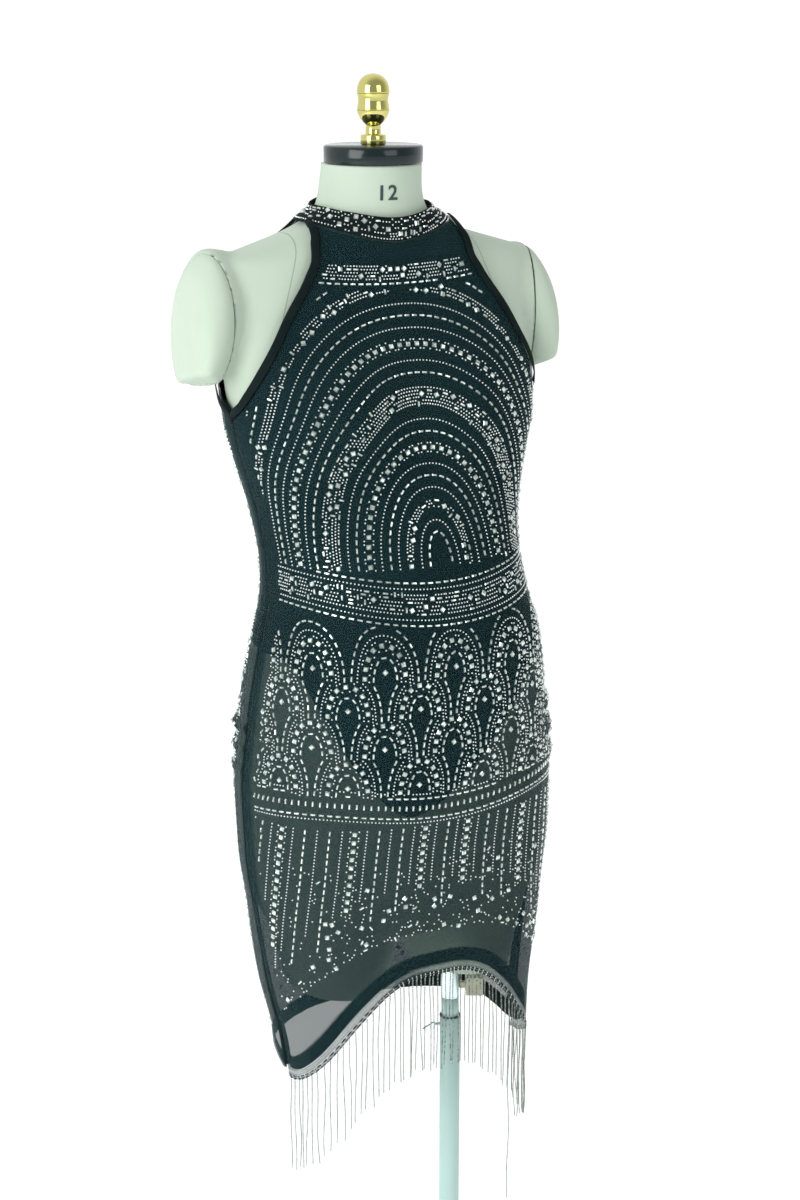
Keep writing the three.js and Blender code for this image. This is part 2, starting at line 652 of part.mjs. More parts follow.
const HEM_REACH = QUARTER - SEAM_GAP / 2 / FIGURE[1].side;
const HEM_PIECES = PANEL_COLUMNS - 1;
const frontHemEdge = (u) => {
  const angle = THREE.MathUtils.lerp(-HEM_REACH, HEM_REACH, u);
  return { angle, z: frontHem(angle) };
};
function hems() {
  const bandOut = CLOTH_OFF - INSIDE_GAP;
  const bandIn = bandOut - HEM_BAND.thick;
  const band = strip(frontHemEdge, HEM_PIECES, HEM_BAND.start, HEM_BAND.width, bandIn, bandOut);
  add('front_hem_band', band, TRIM_CLOTH);
  const tapeEnd = -HEM_TAPE;
  const tape = strip(frontHemEdge, HEM_PIECES, tapeEnd, -SEAM_GAP, CLOTH_OFF, CLOTH_OUT);
  add('hem_tape', tape, TAPE);
  const headerStart = tapeEnd - SEAM_GAP;
  const headerEnd = tapeEnd - FRINGE_HEADER;
  const header = strip(
    frontHemEdge, HEM_PIECES, headerEnd, headerStart, CLOTH_OFF - HEADER_SWELL, CLOTH_OUT + HEADER_SWELL,
  );
  add('fringe_header', header, CUP_CHAIN);
}

// Plain wall of the fringe's reach: it hangs straight down from the header.
const FRINGE_TOP = HEM_TAPE + FRINGE_HEADER + SEAM_GAP;

function fringePoint(u, down, out) {
  const { angle, z } = besideEdge(frontHemEdge, u, -FRINGE_TOP);
  const flat = outward(angle, z).setZ(0).normalize();
  const point = offFigure(angle, z, (CLOTH_OFF + CLOTH_OUT) / 2).addScaledVector(flat, out);
  point.z -= down;
  return point;
}

function fringe() {
  const pieces = HEM_PIECES;
  const layer = (out) =>
    Array.from({ length: pieces + 1 }, (_, i) =>
      [FRINGE.length, 0].map((down) => fringePoint(i / pieces, down, out)),
    );
  const half = FRINGE.thick / 2;
  add('fringe', wallBetween(layer(half), layer(-half)), CUP_CHAIN);

  const u = (LOOSE_STRAND.angle + 90) / 180;
  const top = fringePoint(u, 0, -LOOSE_STRAND.inside);
  const radius = LOOSE_STRAND.diameter / 2;
  const strand = rod(radius, top.z - LOOSE_STRAND.length, top.z, top.x, top.y, 8);
  add('loose_strand', strand, CUP_CHAIN);
}

// ---------------------------------------------------------------- collar
function collar() {
  const neckHalfWidth = column(FIGURE, 'side', NECK_SEAM.back);
  const parting = COLLAR.parting / 2 / neckHalfWidth;
  const place = (i, j) => {
    const angle = THREE.MathUtils.lerp(-Math.PI + parting, Math.PI - parting, i / COLLAR.pieces);
    const bottom = neckSeam(angle) + SEAM_GAP;
    return { angle, z: THREE.MathUtils.lerp(bottom, collarTop(angle), j / 2) };
  };
  add('collar', clothWall(COLLAR.pieces + 1, 3, place, CLOTH_OUT - COLLAR.thick, CLOTH_OUT), TRIM_CLOTH);
  const { radius, thick, spacing, off } = COLLAR_BUTTON;
  const profile = [[0, 0], [radius, 0], [radius, thick * 0.4], [radius * 0.6, thick], [0, thick]];
  for (const [name, step] of [['lower', -0.5], ['upper', 0.5]]) {
    const z = (NECK_SEAM.back + COLLAR_TOP.back) / 2 + step * spacing;
    const button = turned(profile, 0, 0, 16);
    button.applyQuaternion(
      new THREE.Quaternion().setFromUnitVectors(new THREE.Vector3(0, 0, 1), outward(Math.PI, z)),
    );
    const seat = offFigure(Math.PI, z, CLOTH_OUT + off);
    add(`collar_button_${name}`, button.translate(seat.x, seat.y, seat.z), BUTTON_CLOTH);
  }
}

dressForm();
neckCapAndFinial();
stand();
poleFittings();
add('lining_front', lining('front'), LINING_CLOTH);
add('lining_back', lining('back'), LINING_CLOTH);
add('front_panel', panel('front'), MESH_CLOTH);
add('back_panel', backPanel(), MESH_CLOTH);
armholeBindings();
hems();
fringe();
collar();

export default dress;
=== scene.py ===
# Fringed halter dress on a dress form. Metres, +Z up. The form faces -Y and +X is the wearer's
# left. Tables and distances are in millimetres and are turned into metres with MM.
import math
import random

import bmesh
import bpy
import numpy as np
from mathutils import Matrix, Vector


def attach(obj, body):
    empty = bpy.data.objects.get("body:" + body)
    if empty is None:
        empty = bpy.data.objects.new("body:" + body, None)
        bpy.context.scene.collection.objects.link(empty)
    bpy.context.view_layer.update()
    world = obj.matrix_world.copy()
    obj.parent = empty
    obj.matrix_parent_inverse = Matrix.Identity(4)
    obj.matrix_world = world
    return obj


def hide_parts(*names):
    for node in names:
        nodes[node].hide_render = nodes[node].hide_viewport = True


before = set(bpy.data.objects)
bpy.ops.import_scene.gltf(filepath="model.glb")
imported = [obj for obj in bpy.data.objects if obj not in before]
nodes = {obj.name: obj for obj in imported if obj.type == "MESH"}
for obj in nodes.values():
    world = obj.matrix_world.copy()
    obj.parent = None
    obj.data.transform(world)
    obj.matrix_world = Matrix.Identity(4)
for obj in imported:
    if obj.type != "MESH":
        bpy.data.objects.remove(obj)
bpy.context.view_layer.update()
scene = bpy.context.scene
MM = 0.001

# ---------------------------------------------------------------- studio
# A pale seamless floor in an even white room, with a large soft window at the wearer's right
# and a weaker one at the left. The camera stands at a standing person's eye height.
LOOK_AT = Vector((0.011, 0.0, 1.060))
CAMERA_AWAY, CAMERA_TURN, CAMERA_RISE = 2.55, math.radians(-27.0), math.radians(15.0)


def set_up(name, data, place, target):
    """Stands a camera or a lamp at a place, turned to its target."""
    thing = bpy.data.objects.new(name, data)
    thing.location = place
    thing.rotation_euler = (Vector(target) - thing.location).to_track_quat("-Z", "Y").to_euler()
    scene.collection.objects.link(thing)
    return thing


def add_node(tree, kind, **settings):
    node = tree.nodes.new(kind)
    for key, value in settings.items():
        setattr(node, key, value)
    return node


def set_sockets(node, **values):
    for key, value in values.items():
        node.inputs[key.replace("_", " ")].default_value = value


camera_data = bpy.data.cameras.new("camera")
camera_data.sensor_fit = "AUTO"
camera_data.sensor_width = 36.0
camera_data.lens = 68.1
camera_data.clip_end = 200.0
towards_camera = Vector((
    math.sin(CAMERA_TURN) * math.cos(CAMERA_RISE),
    -math.cos(CAMERA_TURN) * math.cos(CAMERA_RISE),
    math.sin(CAMERA_RISE),
))
camera = set_up("camera", camera_data, LOOK_AT + CAMERA_AWAY * towards_camera, LOOK_AT)
bpy.context.scene.camera = camera
scene.view_settings.view_transform = "Standard"
scene.view_settings.look = "None"

for name, place, target, size, power in (
    ("window_right", (-2.6, -1.0, 2.0), (0.0, 0.0, 1.1), (1.6, 2.4), 62.0),
    ("window_front", (0.9, -3.2, 2.6), (0.0, 0.0, 1.0), (1.8, 1.8), 22.0),
):
    window = bpy.data.lights.new(name, "AREA")
    window.shape = "RECTANGLE"
    window.size, window.size_y = size
    window.energy = power
    set_up(name, window, place, target)

# The room is white where the camera looks and at the wearer's right, and dimmer behind it.
world = bpy.data.worlds.new("white_room")
world.use_nodes = True
room = world.node_tree
view_way = add_node(room, "ShaderNodeTexCoord")
towards = add_node(room, "ShaderNodeVectorMath", operation="DOT_PRODUCT")
towards.inputs[1].default_value = (-0.05, 0.94, -0.25)
brightness = add_node(room, "ShaderNodeMapRange", interpolation_type="SMOOTHSTEP")
set_sockets(brightness, From_Min=-0.75, From_Max=0.25, To_Min=0.45, To_Max=1.06)
room.links.new(view_way.outputs["Generated"], towards.inputs[0])
room.links.new(towards.outputs["Value"], brightness.inputs["Value"])
room.links.new(brightness.outputs["Result"], room.nodes["Background"].inputs["Strength"])
room.nodes["Background"].inputs["Color"].default_value = (1.0, 1.0, 1.0, 1.0)
scene.world = world

floor_mesh = bpy.data.meshes.new("studio_floor")
floor_edge = 40.0
floor_corners = [
    (x * floor_edge, y * floor_edge, 0) for x, y in ((-1, -1), (1, -1), (1, 1), (-1, 1))
]
floor_mesh.from_pydata(floor_corners, [], [(0, 1, 2, 3)])
studio_floor = bpy.data.objects.new("studio_floor", floor_mesh)
scene.collection.objects.link(studio_floor)


def mottled(tree, colours, scale, detail):
    """A colour that drifts between two values over the piece, in its own coordinates."""
    place = add_node(tree, "ShaderNodeTexCoord")
    noise = add_node(tree, "ShaderNodeTexNoise")
    noise.inputs["Scale"].default_value = scale
    noise.inputs["Detail"].default_value = detail
    ramp = add_node(tree, "ShaderNodeValToRGB")
    ramp.color_ramp.elements[0].position = 0.35
    ramp.color_ramp.elements[1].position = 0.65
    for element, colour in zip(ramp.color_ramp.elements, colours):
        element.color = (*colour, 1.0)
    tree.links.new(place.outputs["Object"], noise.inputs["Vector"])
    tree.links.new(noise.outputs["Fac"], ramp.inputs["Fac"])
    return ramp.outputs["Color"]


def painted(name, colours, scale, detail=3.0, **sockets):
    """A finish whose colour drifts between two values, with its node tree and its shader."""
    material = bpy.data.materials.new(name)
    material.use_nodes = True
    tree = material.node_tree
    shader = tree.nodes["Principled BSDF"]
    set_sockets(shader, **sockets)
    tree.links.new(mottled(tree, colours, scale, detail), shader.inputs["Base Color"])
    return material, tree, shader


floor_paint, _, _ = painted(
    "pale_floor", [(0.965, 0.968, 0.966), (0.97, 0.973, 0.971)], 1.5, Roughness=0.9,
    Specular_IOR_Level=0.1, Emission_Color=(1.0, 1.0, 1.0, 1.0), Emission_Strength=0.3,
)
floor_mesh.materials.append(floor_paint)

# ---------------------------------------------------------------- the figure
# The body's surface that the form is shaped to and that the cloth lies off. It is the same
# table as in the solid model, and every cloth piece below is placed with it.
FIGURE = np.array([
    # z, side, line, front, back, round
    (470, 136, -28, 98, 113, 2.35),
    (560, 143, -24, 97, 113, 2.35),
    (640, 158, -13, 101, 105, 2.35),
    (720, 170, -11, 101, 103, 2.35),
    (800, 178, -6, 114, 107, 2.35),
    (860, 178, 0, 133, 113, 2.35),
    (920, 172, 2, 142, 118, 2.35),
    (980, 164, 0, 142, 117, 2.35),
    (1030, 155, -2, 142, 108, 2.35),
    (1080, 142, 4, 137, 97, 2.35),
    (1120, 139, 14, 130, 93, 2.35),
    (1170, 145, 21, 119, 102, 2.35),
    (1220, 158, 23, 104, 115, 2.4),
    (1270, 171, 22, 89, 123, 2.45),
    (1320, 175, 26, 75, 123, 2.45),
    (1360, 177, 32, 65, 118, 2.4),
    (1400, 186, 38, 56, 108, 2.25),
    (1425, 193, 41, 52, 96, 2.1),
    (1443, 186, 44, 51, 86, 2.0),
    (1455, 150, 47, 54, 79, 2.0),
    (1467, 110, 49, 56, 71, 2.0),
    (1479, 82, 50, 57, 61, 2.0),
    (1493, 63, 51, 57, 54, 2.0),
    (1512, 57, 51, 57, 54, 2.0),
    (1541, 55, 47, 55, 54, 2.0),
])
HEIGHT, SIDE, LINE, FRONT, BACK, ROUND = range(6)
BUST_X, BUST_Z, BUST_RISE, BUST_WIDE, BUST_TALL = 82.0, 1290.0, 16.0, 42.0, 52.0


def column_value(levels, values, z):
    """Smooth value of a table's column at heights z, level at both ends."""
    z = np.clip(np.asarray(z, float), levels[0], levels[-1])
    step = np.diff(values) / np.diff(levels)
    below, above = step[:-1], step[1:]
    turning = below * above <= 0
    safe = np.where(turning, 1.0, below + above)
    slope = np.concatenate([[0.0], np.where(turning, 0.0, 2 * below * above / safe), [0.0]])
    i = np.clip(np.searchsorted(levels, z, side="right") - 1, 0, len(levels) - 2)
    span = levels[i + 1] - levels[i]
    t = (z - levels[i]) / span
    rise = t * t * (3 - 2 * t)
    return (values[i] * (1 - rise) + values[i + 1] * rise
            + span * (t * (1 - t) ** 2 * slope[i] - t * t * (1 - t) * slope[i + 1]))


def figure_point(angle, z):
    """Points of the figure. Angle 0 is the centre front and pi/2 the left side."""
    angle, z = np.broadcast_arrays(np.asarray(angle, float), np.asarray(z, float))
    read = {key: column_value(FIGURE[:, HEIGHT], FIGURE[:, key], z) for key in range(1, 6)}
    along = np.cos(angle)
    depth = np.where(along > 0, read[FRONT], read[BACK])
    power = read[ROUND]
    reach = ((np.abs(np.sin(angle)) / read[SIDE]) ** power
             + (np.abs(along) / depth) ** power) ** (-1 / power)
    x = reach * np.sin(angle)
    away = ((np.abs(x) - BUST_X) / BUST_WIDE) ** 2 + ((z - BUST_Z) / BUST_TALL) ** 2
    bust = BUST_RISE * np.exp(-away) * np.sqrt(np.maximum(0.0, along))
    return np.stack([x, read[LINE] - reach * along - bust, z], axis=-1)


def slopes(angle, z):
    """How the figure's points move with the angle, and with the height."""
    step = 1e-3
    across = (figure_point(angle + step, z) - figure_point(angle - step, z)) / (2 * step)
    return across, figure_point(angle, z + 0.5) - figure_point(angle, z - 0.5)


def to_length_one(ways):
    return ways / np.linalg.norm(ways, axis=-1, keepdims=True)


def figure_normal(angle, z):
    return to_length_one(np.cross(*slopes(angle, z)))


def off_figure(angle, z, out):
    return figure_point(angle, z) + figure_normal(angle, z) * np.asarray(out, float)[..., None]


# ---------------------------------------------------------------- dress form body
# A padded shell of papier mache covered in tightly pulled pale linen. The arm stumps are
# separate caps, sewn on round a slanting seam and cut off flat to an oval at the bottom.
NECK_TOP = 1541.0
TRUNK_BOTTOM, TRUNK_FULL, DRAWN_IN = 698.0, 740.0, 0.12
THIGH = np.array([
    # z, x, y, wide, deep
    (625, 80, -14, 56, 72), (650, 80, -13, 61, 78), (680, 80, -11, 68, 85),
    (710, 80, -10, 78, 92), (745, 78, -8, 84, 96),
])
ARM_ROOT = np.array([
    # x, y, z, tall, deep
    (110, 58, 1390, 44, 40),
    (150, 60, 1387, 57, 45),
    (180, 58, 1382, 69, 56),
    (195, 57, 1374, 76, 62),
    (206, 55.5, 1363.5, 73, 60),
    (213, 54.5, 1355, 68, 55),
    (217.5, 54, 1347, 56, 45),
    (220, 53, 1342, 38, 30),
])
SHOULDER_SEAM = Vector((198.0, 57.0, 1374.0)) * MM
SEAM_TURN = math.radians(16.0)
ARM_CUT = Vector((203.0, 37.0, 1313.0)) * MM
ARM_CUT_NORMAL = Vector((0.32, -0.22, -0.92)).normalized()
RIGHT_RAISED = 5.0


def finished_piece(name, mesh, material, slot_name, *replaces, smooth=True):
    """Links a mesh as a piece of the object, with its material, and lets it ride on the frame."""
    mesh.name = name
    piece = bpy.data.objects.new(name, mesh)
    scene.collection.objects.link(piece)
    mesh.materials.clear()
    mesh.materials.append(material)
    if smooth:
        mesh.shade_smooth()
    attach(piece, "root")
    if replaces:
        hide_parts(*replaces)


def mesh_of(bm, name):
    """Mesh of a bmesh, which is freed."""
    mesh = bpy.data.meshes.new(name)
    bm.to_mesh(mesh)
    bm.free()
    return mesh


def mesh_as_seen(thing):
    """Plain mesh of an object with its modifiers applied. The object is removed."""
    mesh = bpy.data.meshes.new_from_object(
        thing.evaluated_get(bpy.context.evaluated_depsgraph_get()))
    bpy.data.objects.remove(thing)
    return mesh


def rows_of(table, count):
    """Evenly spaced rows of a table, with smooth values between its own."""
    levels = table[:, 0]
    for level in np.linspace(levels[0], levels[-1], count):
        yield level, *(column_value(levels, column, level) for column in table[:, 1:].T)


def closed_tube(bm, rings):
    """Adds a closed solid through rings of points, with flat ends."""
    levels = [[bm.verts.new(Vector(p) * MM) for p in ring] for ring in rings]
    for low, high in zip(levels, levels[1:]):
        for i in range(len(low)):
            k = (i + 1) % len(low)
            bm.faces.new((low[i], low[k], high[k], high[i]))
    bm.faces.new(list(reversed(levels[0])))
    bm.faces.new(levels[-1])


def cut_off(bm, point, normal):
    """Cuts away what lies past a plane and closes the cut."""
    cut = bmesh.ops.bisect_plane(
        bm, geom=bm.verts[:] + bm.edges[:] + bm.faces[:], plane_co=point, plane_no=normal,
        clear_outer=True,
    )
    edges = [e for e in cut["geom_cut"] if isinstance(e, bmesh.types.BMEdge)]
    bmesh.ops.holes_fill(bm, edges=edges)


def trunk_ring(turn, z):
    """Ring of the figure, drawn in towards its side line at the lower end."""
    low = max(0.0, TRUNK_FULL - z) / (TRUNK_FULL - TRUNK_BOTTOM)
    line = np.array([0.0, column_value(FIGURE[:, HEIGHT], FIGURE[:, LINE], z), z])
    return line + (figure_point(turn, z) - line) * (1 - DRAWN_IN * low ** 2)


def form_blank():
    """The trunk, thighs and arm stumps as one smooth skin, before its seams are cut."""
    bm = bmesh.new()
    turn = np.linspace(0, 2 * math.pi, 120, endpoint=False)
    levels = np.linspace(TRUNK_BOTTOM, NECK_TOP, 190)
    trunk = [trunk_ring(turn, z) for z in levels]
    closed_tube(bm, trunk + [trunk[-1] + np.array([0.0, 0.0, 14.0])])
    for side in (1, -1):
        closed_tube(bm, [
            np.stack([
                side * x + wide * np.sin(turn), y - deep * np.cos(turn), np.full_like(turn, z),
            ], axis=-1)
            for z, x, y, wide, deep in rows_of(THIGH, 24)
        ])
        around, raised = turn * side, -side * RIGHT_RAISED
        arm = bmesh.new()
        closed_tube(arm, [
            np.stack([
                np.full_like(turn, side * x), y + deep * np.cos(around),
                z + raised + tall * np.sin(around),
            ], axis=-1)
            for x, y, z, tall, deep in rows_of(ARM_ROOT, 34)
        ])
        cut_off(arm, Vector((side * ARM_CUT.x, ARM_CUT.y, ARM_CUT.z + raised * MM)),
                Vector((side * ARM_CUT_NORMAL.x, ARM_CUT_NORMAL.y, ARM_CUT_NORMAL.z)))
        stump = mesh_of(arm, "stump")
        bm.from_mesh(stump)
        bpy.data.meshes.remove(stump)
    blank = bpy.data.objects.new("form_blank", mesh_of(bm, "form_blank"))
    scene.collection.objects.link(blank)
    skin = blank.modifiers.new("skin", "REMESH")
    skin.mode = "VOXEL"
    skin.voxel_size = 3.6 * MM
    smooth = blank.modifiers.new("smooth", "SMOOTH")
    smooth.factor = 0.5
    smooth.iterations = 9
    return mesh_as_seen(blank)


def groove(bm, planes, depth, width):
    """Presses a soft groove into the skin beside each plane."""
    bm.normal_update()
    for vertex in bm.verts:
        for point, normal in planes:
            away = abs((vertex.co - point).dot(normal))
            if away < 4 * width:
                vertex.co -= vertex.normal * depth * math.exp(-((away / width) ** 2))


blank_mesh = form_blank()
seams = {
    side: (
        Vector((side * SHOULDER_SEAM.x, SHOULDER_SEAM.y, SHOULDER_SEAM.z)),
        Vector((side * math.cos(SEAM_TURN), -math.sin(SEAM_TURN), 0.0)),
    )
    for side in (1, -1)
}
SEAM_HALF_GAP = 0.15 * MM


def form_piece(cuts, grooves):
    """The blank cut off at planes, with its seams drawn in."""
    bm = bmesh.new()
    bm.from_mesh(blank_mesh)
    for point, normal in cuts:
        cut_off(bm, point, normal)
    groove(bm, grooves, 1.1 * MM, 2.4 * MM)
    return mesh_of(bm, "form_piece")


def worked_out(tree, operation, *values):
    """Output of a Math node whose inputs are sockets or numbers."""
    node = add_node(tree, "ShaderNodeMath", operation=operation)
    for socket, value in zip(node.inputs, values):
        if isinstance(value, bpy.types.NodeSocket):
            tree.links.new(value, socket)
        else:
            socket.default_value = value
    return node.outputs[0]


def raised_threads(tree, directions, strength, distance, **settings):
    """Raises the surface with fine ribs that run across each of the directions."""
    place = add_node(tree, "ShaderNodeTexCoord").outputs["Object"]
    threads = []
    for direction in directions:
        ribs = add_node(tree, "ShaderNodeTexWave", wave_type="BANDS", bands_direction=direction)
        set_sockets(ribs, **settings)
        tree.links.new(place, ribs.inputs["Vector"])
        threads.append(ribs.outputs["Fac"])
    bump = add_node(tree, "ShaderNodeBump")
    set_sockets(bump, Strength=strength, Distance=distance)
    height = worked_out(tree, "ADD", *threads) if len(threads) > 1 else threads[0]
    tree.links.new(height, bump.inputs["Height"])
    tree.links.new(bump.outputs["Normal"], tree.nodes["Principled BSDF"].inputs["Normal"])
    return place


linen, tree, shader = painted(
    "form_linen", [(0.43, 0.52, 0.425), (0.455, 0.545, 0.45)], 9.0,
    Roughness=0.85, Specular_IOR_Level=0.15, Sheen_Weight=0.15,
)
place = raised_threads(
    tree, ("Z", "X"), 0.12, 0.2 * MM, Scale=420.0, Distortion=1.2, Detail_Scale=2.0)
# The seams of the linen cover run over each shoulder, a hand's breadth from the neck.
COVER_SEAM_X, COVER_SEAM_Z, COVER_SEAM_LEAN = 0.113, 1.44, 0.35
split = add_node(tree, "ShaderNodeSeparateXYZ")
tree.links.new(place, split.inputs[0])
seam_x = worked_out(tree, "MULTIPLY_ADD", split.outputs["Z"], -COVER_SEAM_LEAN,
                    COVER_SEAM_X + COVER_SEAM_LEAN * COVER_SEAM_Z)
side_of = worked_out(tree, "ABSOLUTE", split.outputs["X"])
off_seam = worked_out(tree, "ABSOLUTE", worked_out(tree, "SUBTRACT", side_of, seam_x))
in_seam = add_node(tree, "ShaderNodeMapRange")
set_sockets(in_seam, From_Min=0.0002, From_Max=0.0009)
tree.links.new(off_seam, in_seam.inputs["Value"])
shade = add_node(tree, "ShaderNodeMix", data_type="RGBA")
shade.inputs["A"].default_value = (0.28, 0.33, 0.26, 1.0)
tree.links.new(in_seam.outputs["Result"], shade.inputs["Factor"])
tree.links.new(shader.inputs["Base Color"].links[0].from_socket, shade.inputs["B"])
tree.links.new(shade.outputs["Result"], shader.inputs["Base Color"])

torso_cuts = [(point - normal * SEAM_HALF_GAP, normal) for point, normal in seams.values()]
torso_cuts.append((Vector((0.0, 0.0, NECK_TOP * MM)), Vector((0.0, 0.0, 1.0))))
finished_piece("form_body", form_piece(torso_cuts, list(seams.values())), linen, "form_cover",
               "form_torso")
for side, label in ((1, "left"), (-1, "right")):
    point, normal = seams[side]
    cap = form_piece([(point + normal * SEAM_HALF_GAP, -normal)], [seams[side]])
    cap.set_sharp_from_angle(angle=math.radians(40))
    finished_piece(f"shoulder_cap_{label}", cap, linen, "form_cover",
                   f"form_shoulder_cap_{label}")
bpy.data.meshes.remove(blank_mesh)

# The size is painted on the front of the neck in plain figures.
NUMBER_ANGLE, NUMBER_Z, NUMBER_TALL = math.radians(-1.4), 1515.3, 16.2
NECK_RADIUS = 55.0
PAINT_OUT = 0.35
text = bpy.data.curves.new("size_number", "FONT")
text.body = "12"
text.align_x, text.align_y = "CENTER", "CENTER"
text.space_character = 1.12
text.offset = 0.020
text_object = bpy.data.objects.new("size_number", text)
scene.collection.objects.link(text_object)
number = mesh_as_seen(text_object)
flat = np.array([v.co[:] for v in number.vertices])
scale = NUMBER_TALL / np.ptp(flat[:, 1])
angles = NUMBER_ANGLE + (flat[:, 0] - flat[:, 0].mean()) * scale / NECK_RADIUS
levels = NUMBER_Z + (flat[:, 1] - flat[:, 1].mean()) * scale
on_neck = off_figure(angles, levels, np.full(len(flat), PAINT_OUT)) * MM
number.vertices.foreach_set("co", on_neck.ravel())
ink, _, _ = painted(
    "number_ink", [(0.020, 0.034, 0.034), (0.035, 0.05, 0.05)], 300.0, Roughness=0.6)
finished_piece("size_number", number, ink, "black_ring", smooth=False)


# ---------------------------------------------------------------- neck cap and finial
# A turned black cap glued on the neck's top, and a polished brass knob screwed into it.
CAP_Y = 42.0


def turned_piece(name, profile, x, y, segments, material, slot_name, node_name):
    """Solid turned about an upright axis. Profile rows are radius and height."""
    around = np.linspace(0, 2 * math.pi, segments, endpoint=False)
    ring = [(math.cos(a), math.sin(a)) for a in around]
    points, faces, starts = [], [], []
    for r, z in profile:
        starts.append(len(points))
        for c, s in (ring if r > 1e-6 else ring[:1]):
            points.append(((x + max(r, 0) * c) * MM, (y + max(r, 0) * s) * MM, z * MM))
    for k, (low, high) in enumerate(zip(starts, starts[1:])):
        for i in range(segments):
            n = (i + 1) % segments
            if profile[k][0] < 1e-6:
                faces.append((low, high + n, high + i))
            elif profile[k + 1][0] < 1e-6:
                faces.append((low + i, low + n, high))
            else:
                faces.append((low + i, low + n, high + n, high + i))
    mesh = bpy.data.meshes.new(name)
    mesh.from_pydata(points, [], faces)
    mesh.set_sharp_from_angle(angle=math.radians(50))
    finished_piece(name, mesh, material, slot_name, node_name)


def rounded(profile, edge):
    """The same profile with every inner corner eased by a short chamfer."""
    result = [profile[0]]
    for before, here, after in zip(profile, profile[1:], profile[2:]):
        for other in (before, after):
            way = np.subtract(other, here)
            length = np.hypot(*way)
            result.append(tuple(np.add(here, way / length * min(edge, 0.4 * length))))
    return result + [profile[-1]]


def smooth_line(rows, steps):
    """Profile with extra rows on a smooth curve through its own."""
    line = []
    for k in range(len(rows) - 1):
        p = [np.array(rows[max(0, min(len(rows) - 1, k + n))], float) for n in (-1, 0, 1, 2)]
        for t in np.linspace(0, 1, steps, endpoint=False):
            line.append(tuple(0.5 * (
                2 * p[1] + (p[2] - p[0]) * t + (2 * p[0] - 5 * p[1] + 4 * p[2] - p[3]) * t * t
                + (3 * p[1] - p[0] - 3 * p[2] + p[3]) * t ** 3)))
    return line + [tuple(rows[-1])]


def plain_finish(name, colours, scale, roughness, specular=0.5, metallic=0.0):
    """Smooth finish with a faint drift in its colour and gloss."""
    material, tree, shader = painted(
        name, colours, scale, Metallic=metallic, Specular_IOR_Level=specular)
    place = add_node(tree, "ShaderNodeTexCoord")
    noise = add_node(tree, "ShaderNodeTexNoise")
    noise.inputs["Scale"].default_value = scale * 3
    spread = add_node(tree, "ShaderNodeMapRange")
    set_sockets(spread, To_Min=roughness * 0.8, To_Max=roughness * 1.2)
    tree.links.new(place.outputs["Object"], noise.inputs["Vector"])
    tree.links.new(noise.outputs["Fac"], spread.inputs["Value"])
    tree.links.new(spread.outputs["Result"], shader.inputs["Roughness"])
    return material


# The cap's colour is painted paler, towards a pale teal, where it is seen nearly edge on: a painted
# reflection laid over its real gloss.
cap_gloss = plain_finish(
    "neck_cap_gloss", [(0.002, 0.010, 0.011), (0.004, 0.014, 0.015)], 20.0, 0.16, 0.4)
tree = cap_gloss.node_tree
base_colour = tree.nodes["Principled BSDF"].inputs["Base Color"]
edge_on = add_node(tree, "ShaderNodeLayerWeight")
painted_reflection_fade = add_node(tree, "ShaderNodeMapRange")
set_sockets(painted_reflection_fade, From_Min=0.86, From_Max=0.97)
tree.links.new(edge_on.outputs["Facing"], painted_reflection_fade.inputs["Value"])
# Mix of the cap's own dark colour towards pale teal: the painted edge-on reflection.
painted_edge_reflection = add_node(tree, "ShaderNodeMix", data_type="RGBA")
painted_edge_reflection.inputs["B"].default_value = (0.30, 0.46, 0.47, 1.0)
tree.links.new(painted_reflection_fade.outputs["Result"], painted_edge_reflection.inputs["Factor"])
tree.links.new(base_colour.links[0].from_socket, painted_edge_reflection.inputs["A"])
tree.links.new(painted_edge_reflection.outputs["Result"], base_colour)
brass = plain_finish("brass", [(0.56, 0.53, 0.17), (0.66, 0.62, 0.24)], 30.0, 0.08, metallic=1.0)
cap_profile = rounded([(0, 1541.3), (54, 1541.3), (54, 1560.5), (0, 1560.5)], 1.6)
turned_piece("neck_cap_turned", cap_profile, 0, CAP_Y, 128, cap_gloss, "black_cap", "neck_cap")
knob = [
    (0, 1560.8), (13.4, 1560.8), (13.8, 1561.3), (13.8, 1570.4), (13.2, 1571.2), (9.0, 1571.6),
    (8.4, 1572.4), (8.2, 1581.4), (8.8, 1582.4),
]
# Three swellings with a fine turned line between them.
bulb = (
    smooth_line([(9.8, 1583.0), (12.6, 1586.0), (15.2, 1590.0), (17.0, 1594.0), (17.8, 1597.3)], 4)
    + smooth_line([(17.1, 1597.6), (17.6, 1598.3), (16.9, 1602.0), (16.3, 1607.0), (16.6, 1611.0),
                   (17.5, 1614.6)], 4)
    + smooth_line([(16.9, 1614.9), (17.8, 1615.7), (17.6, 1619.0), (16.5, 1624.3), (13.4, 1629.8),
                   (7.6, 1634.2), (0.0, 1636.0)], 5)
)
turned_piece("finial_turned", knob + bulb, 0, CAP_Y, 96, brass, "brass", "finial")

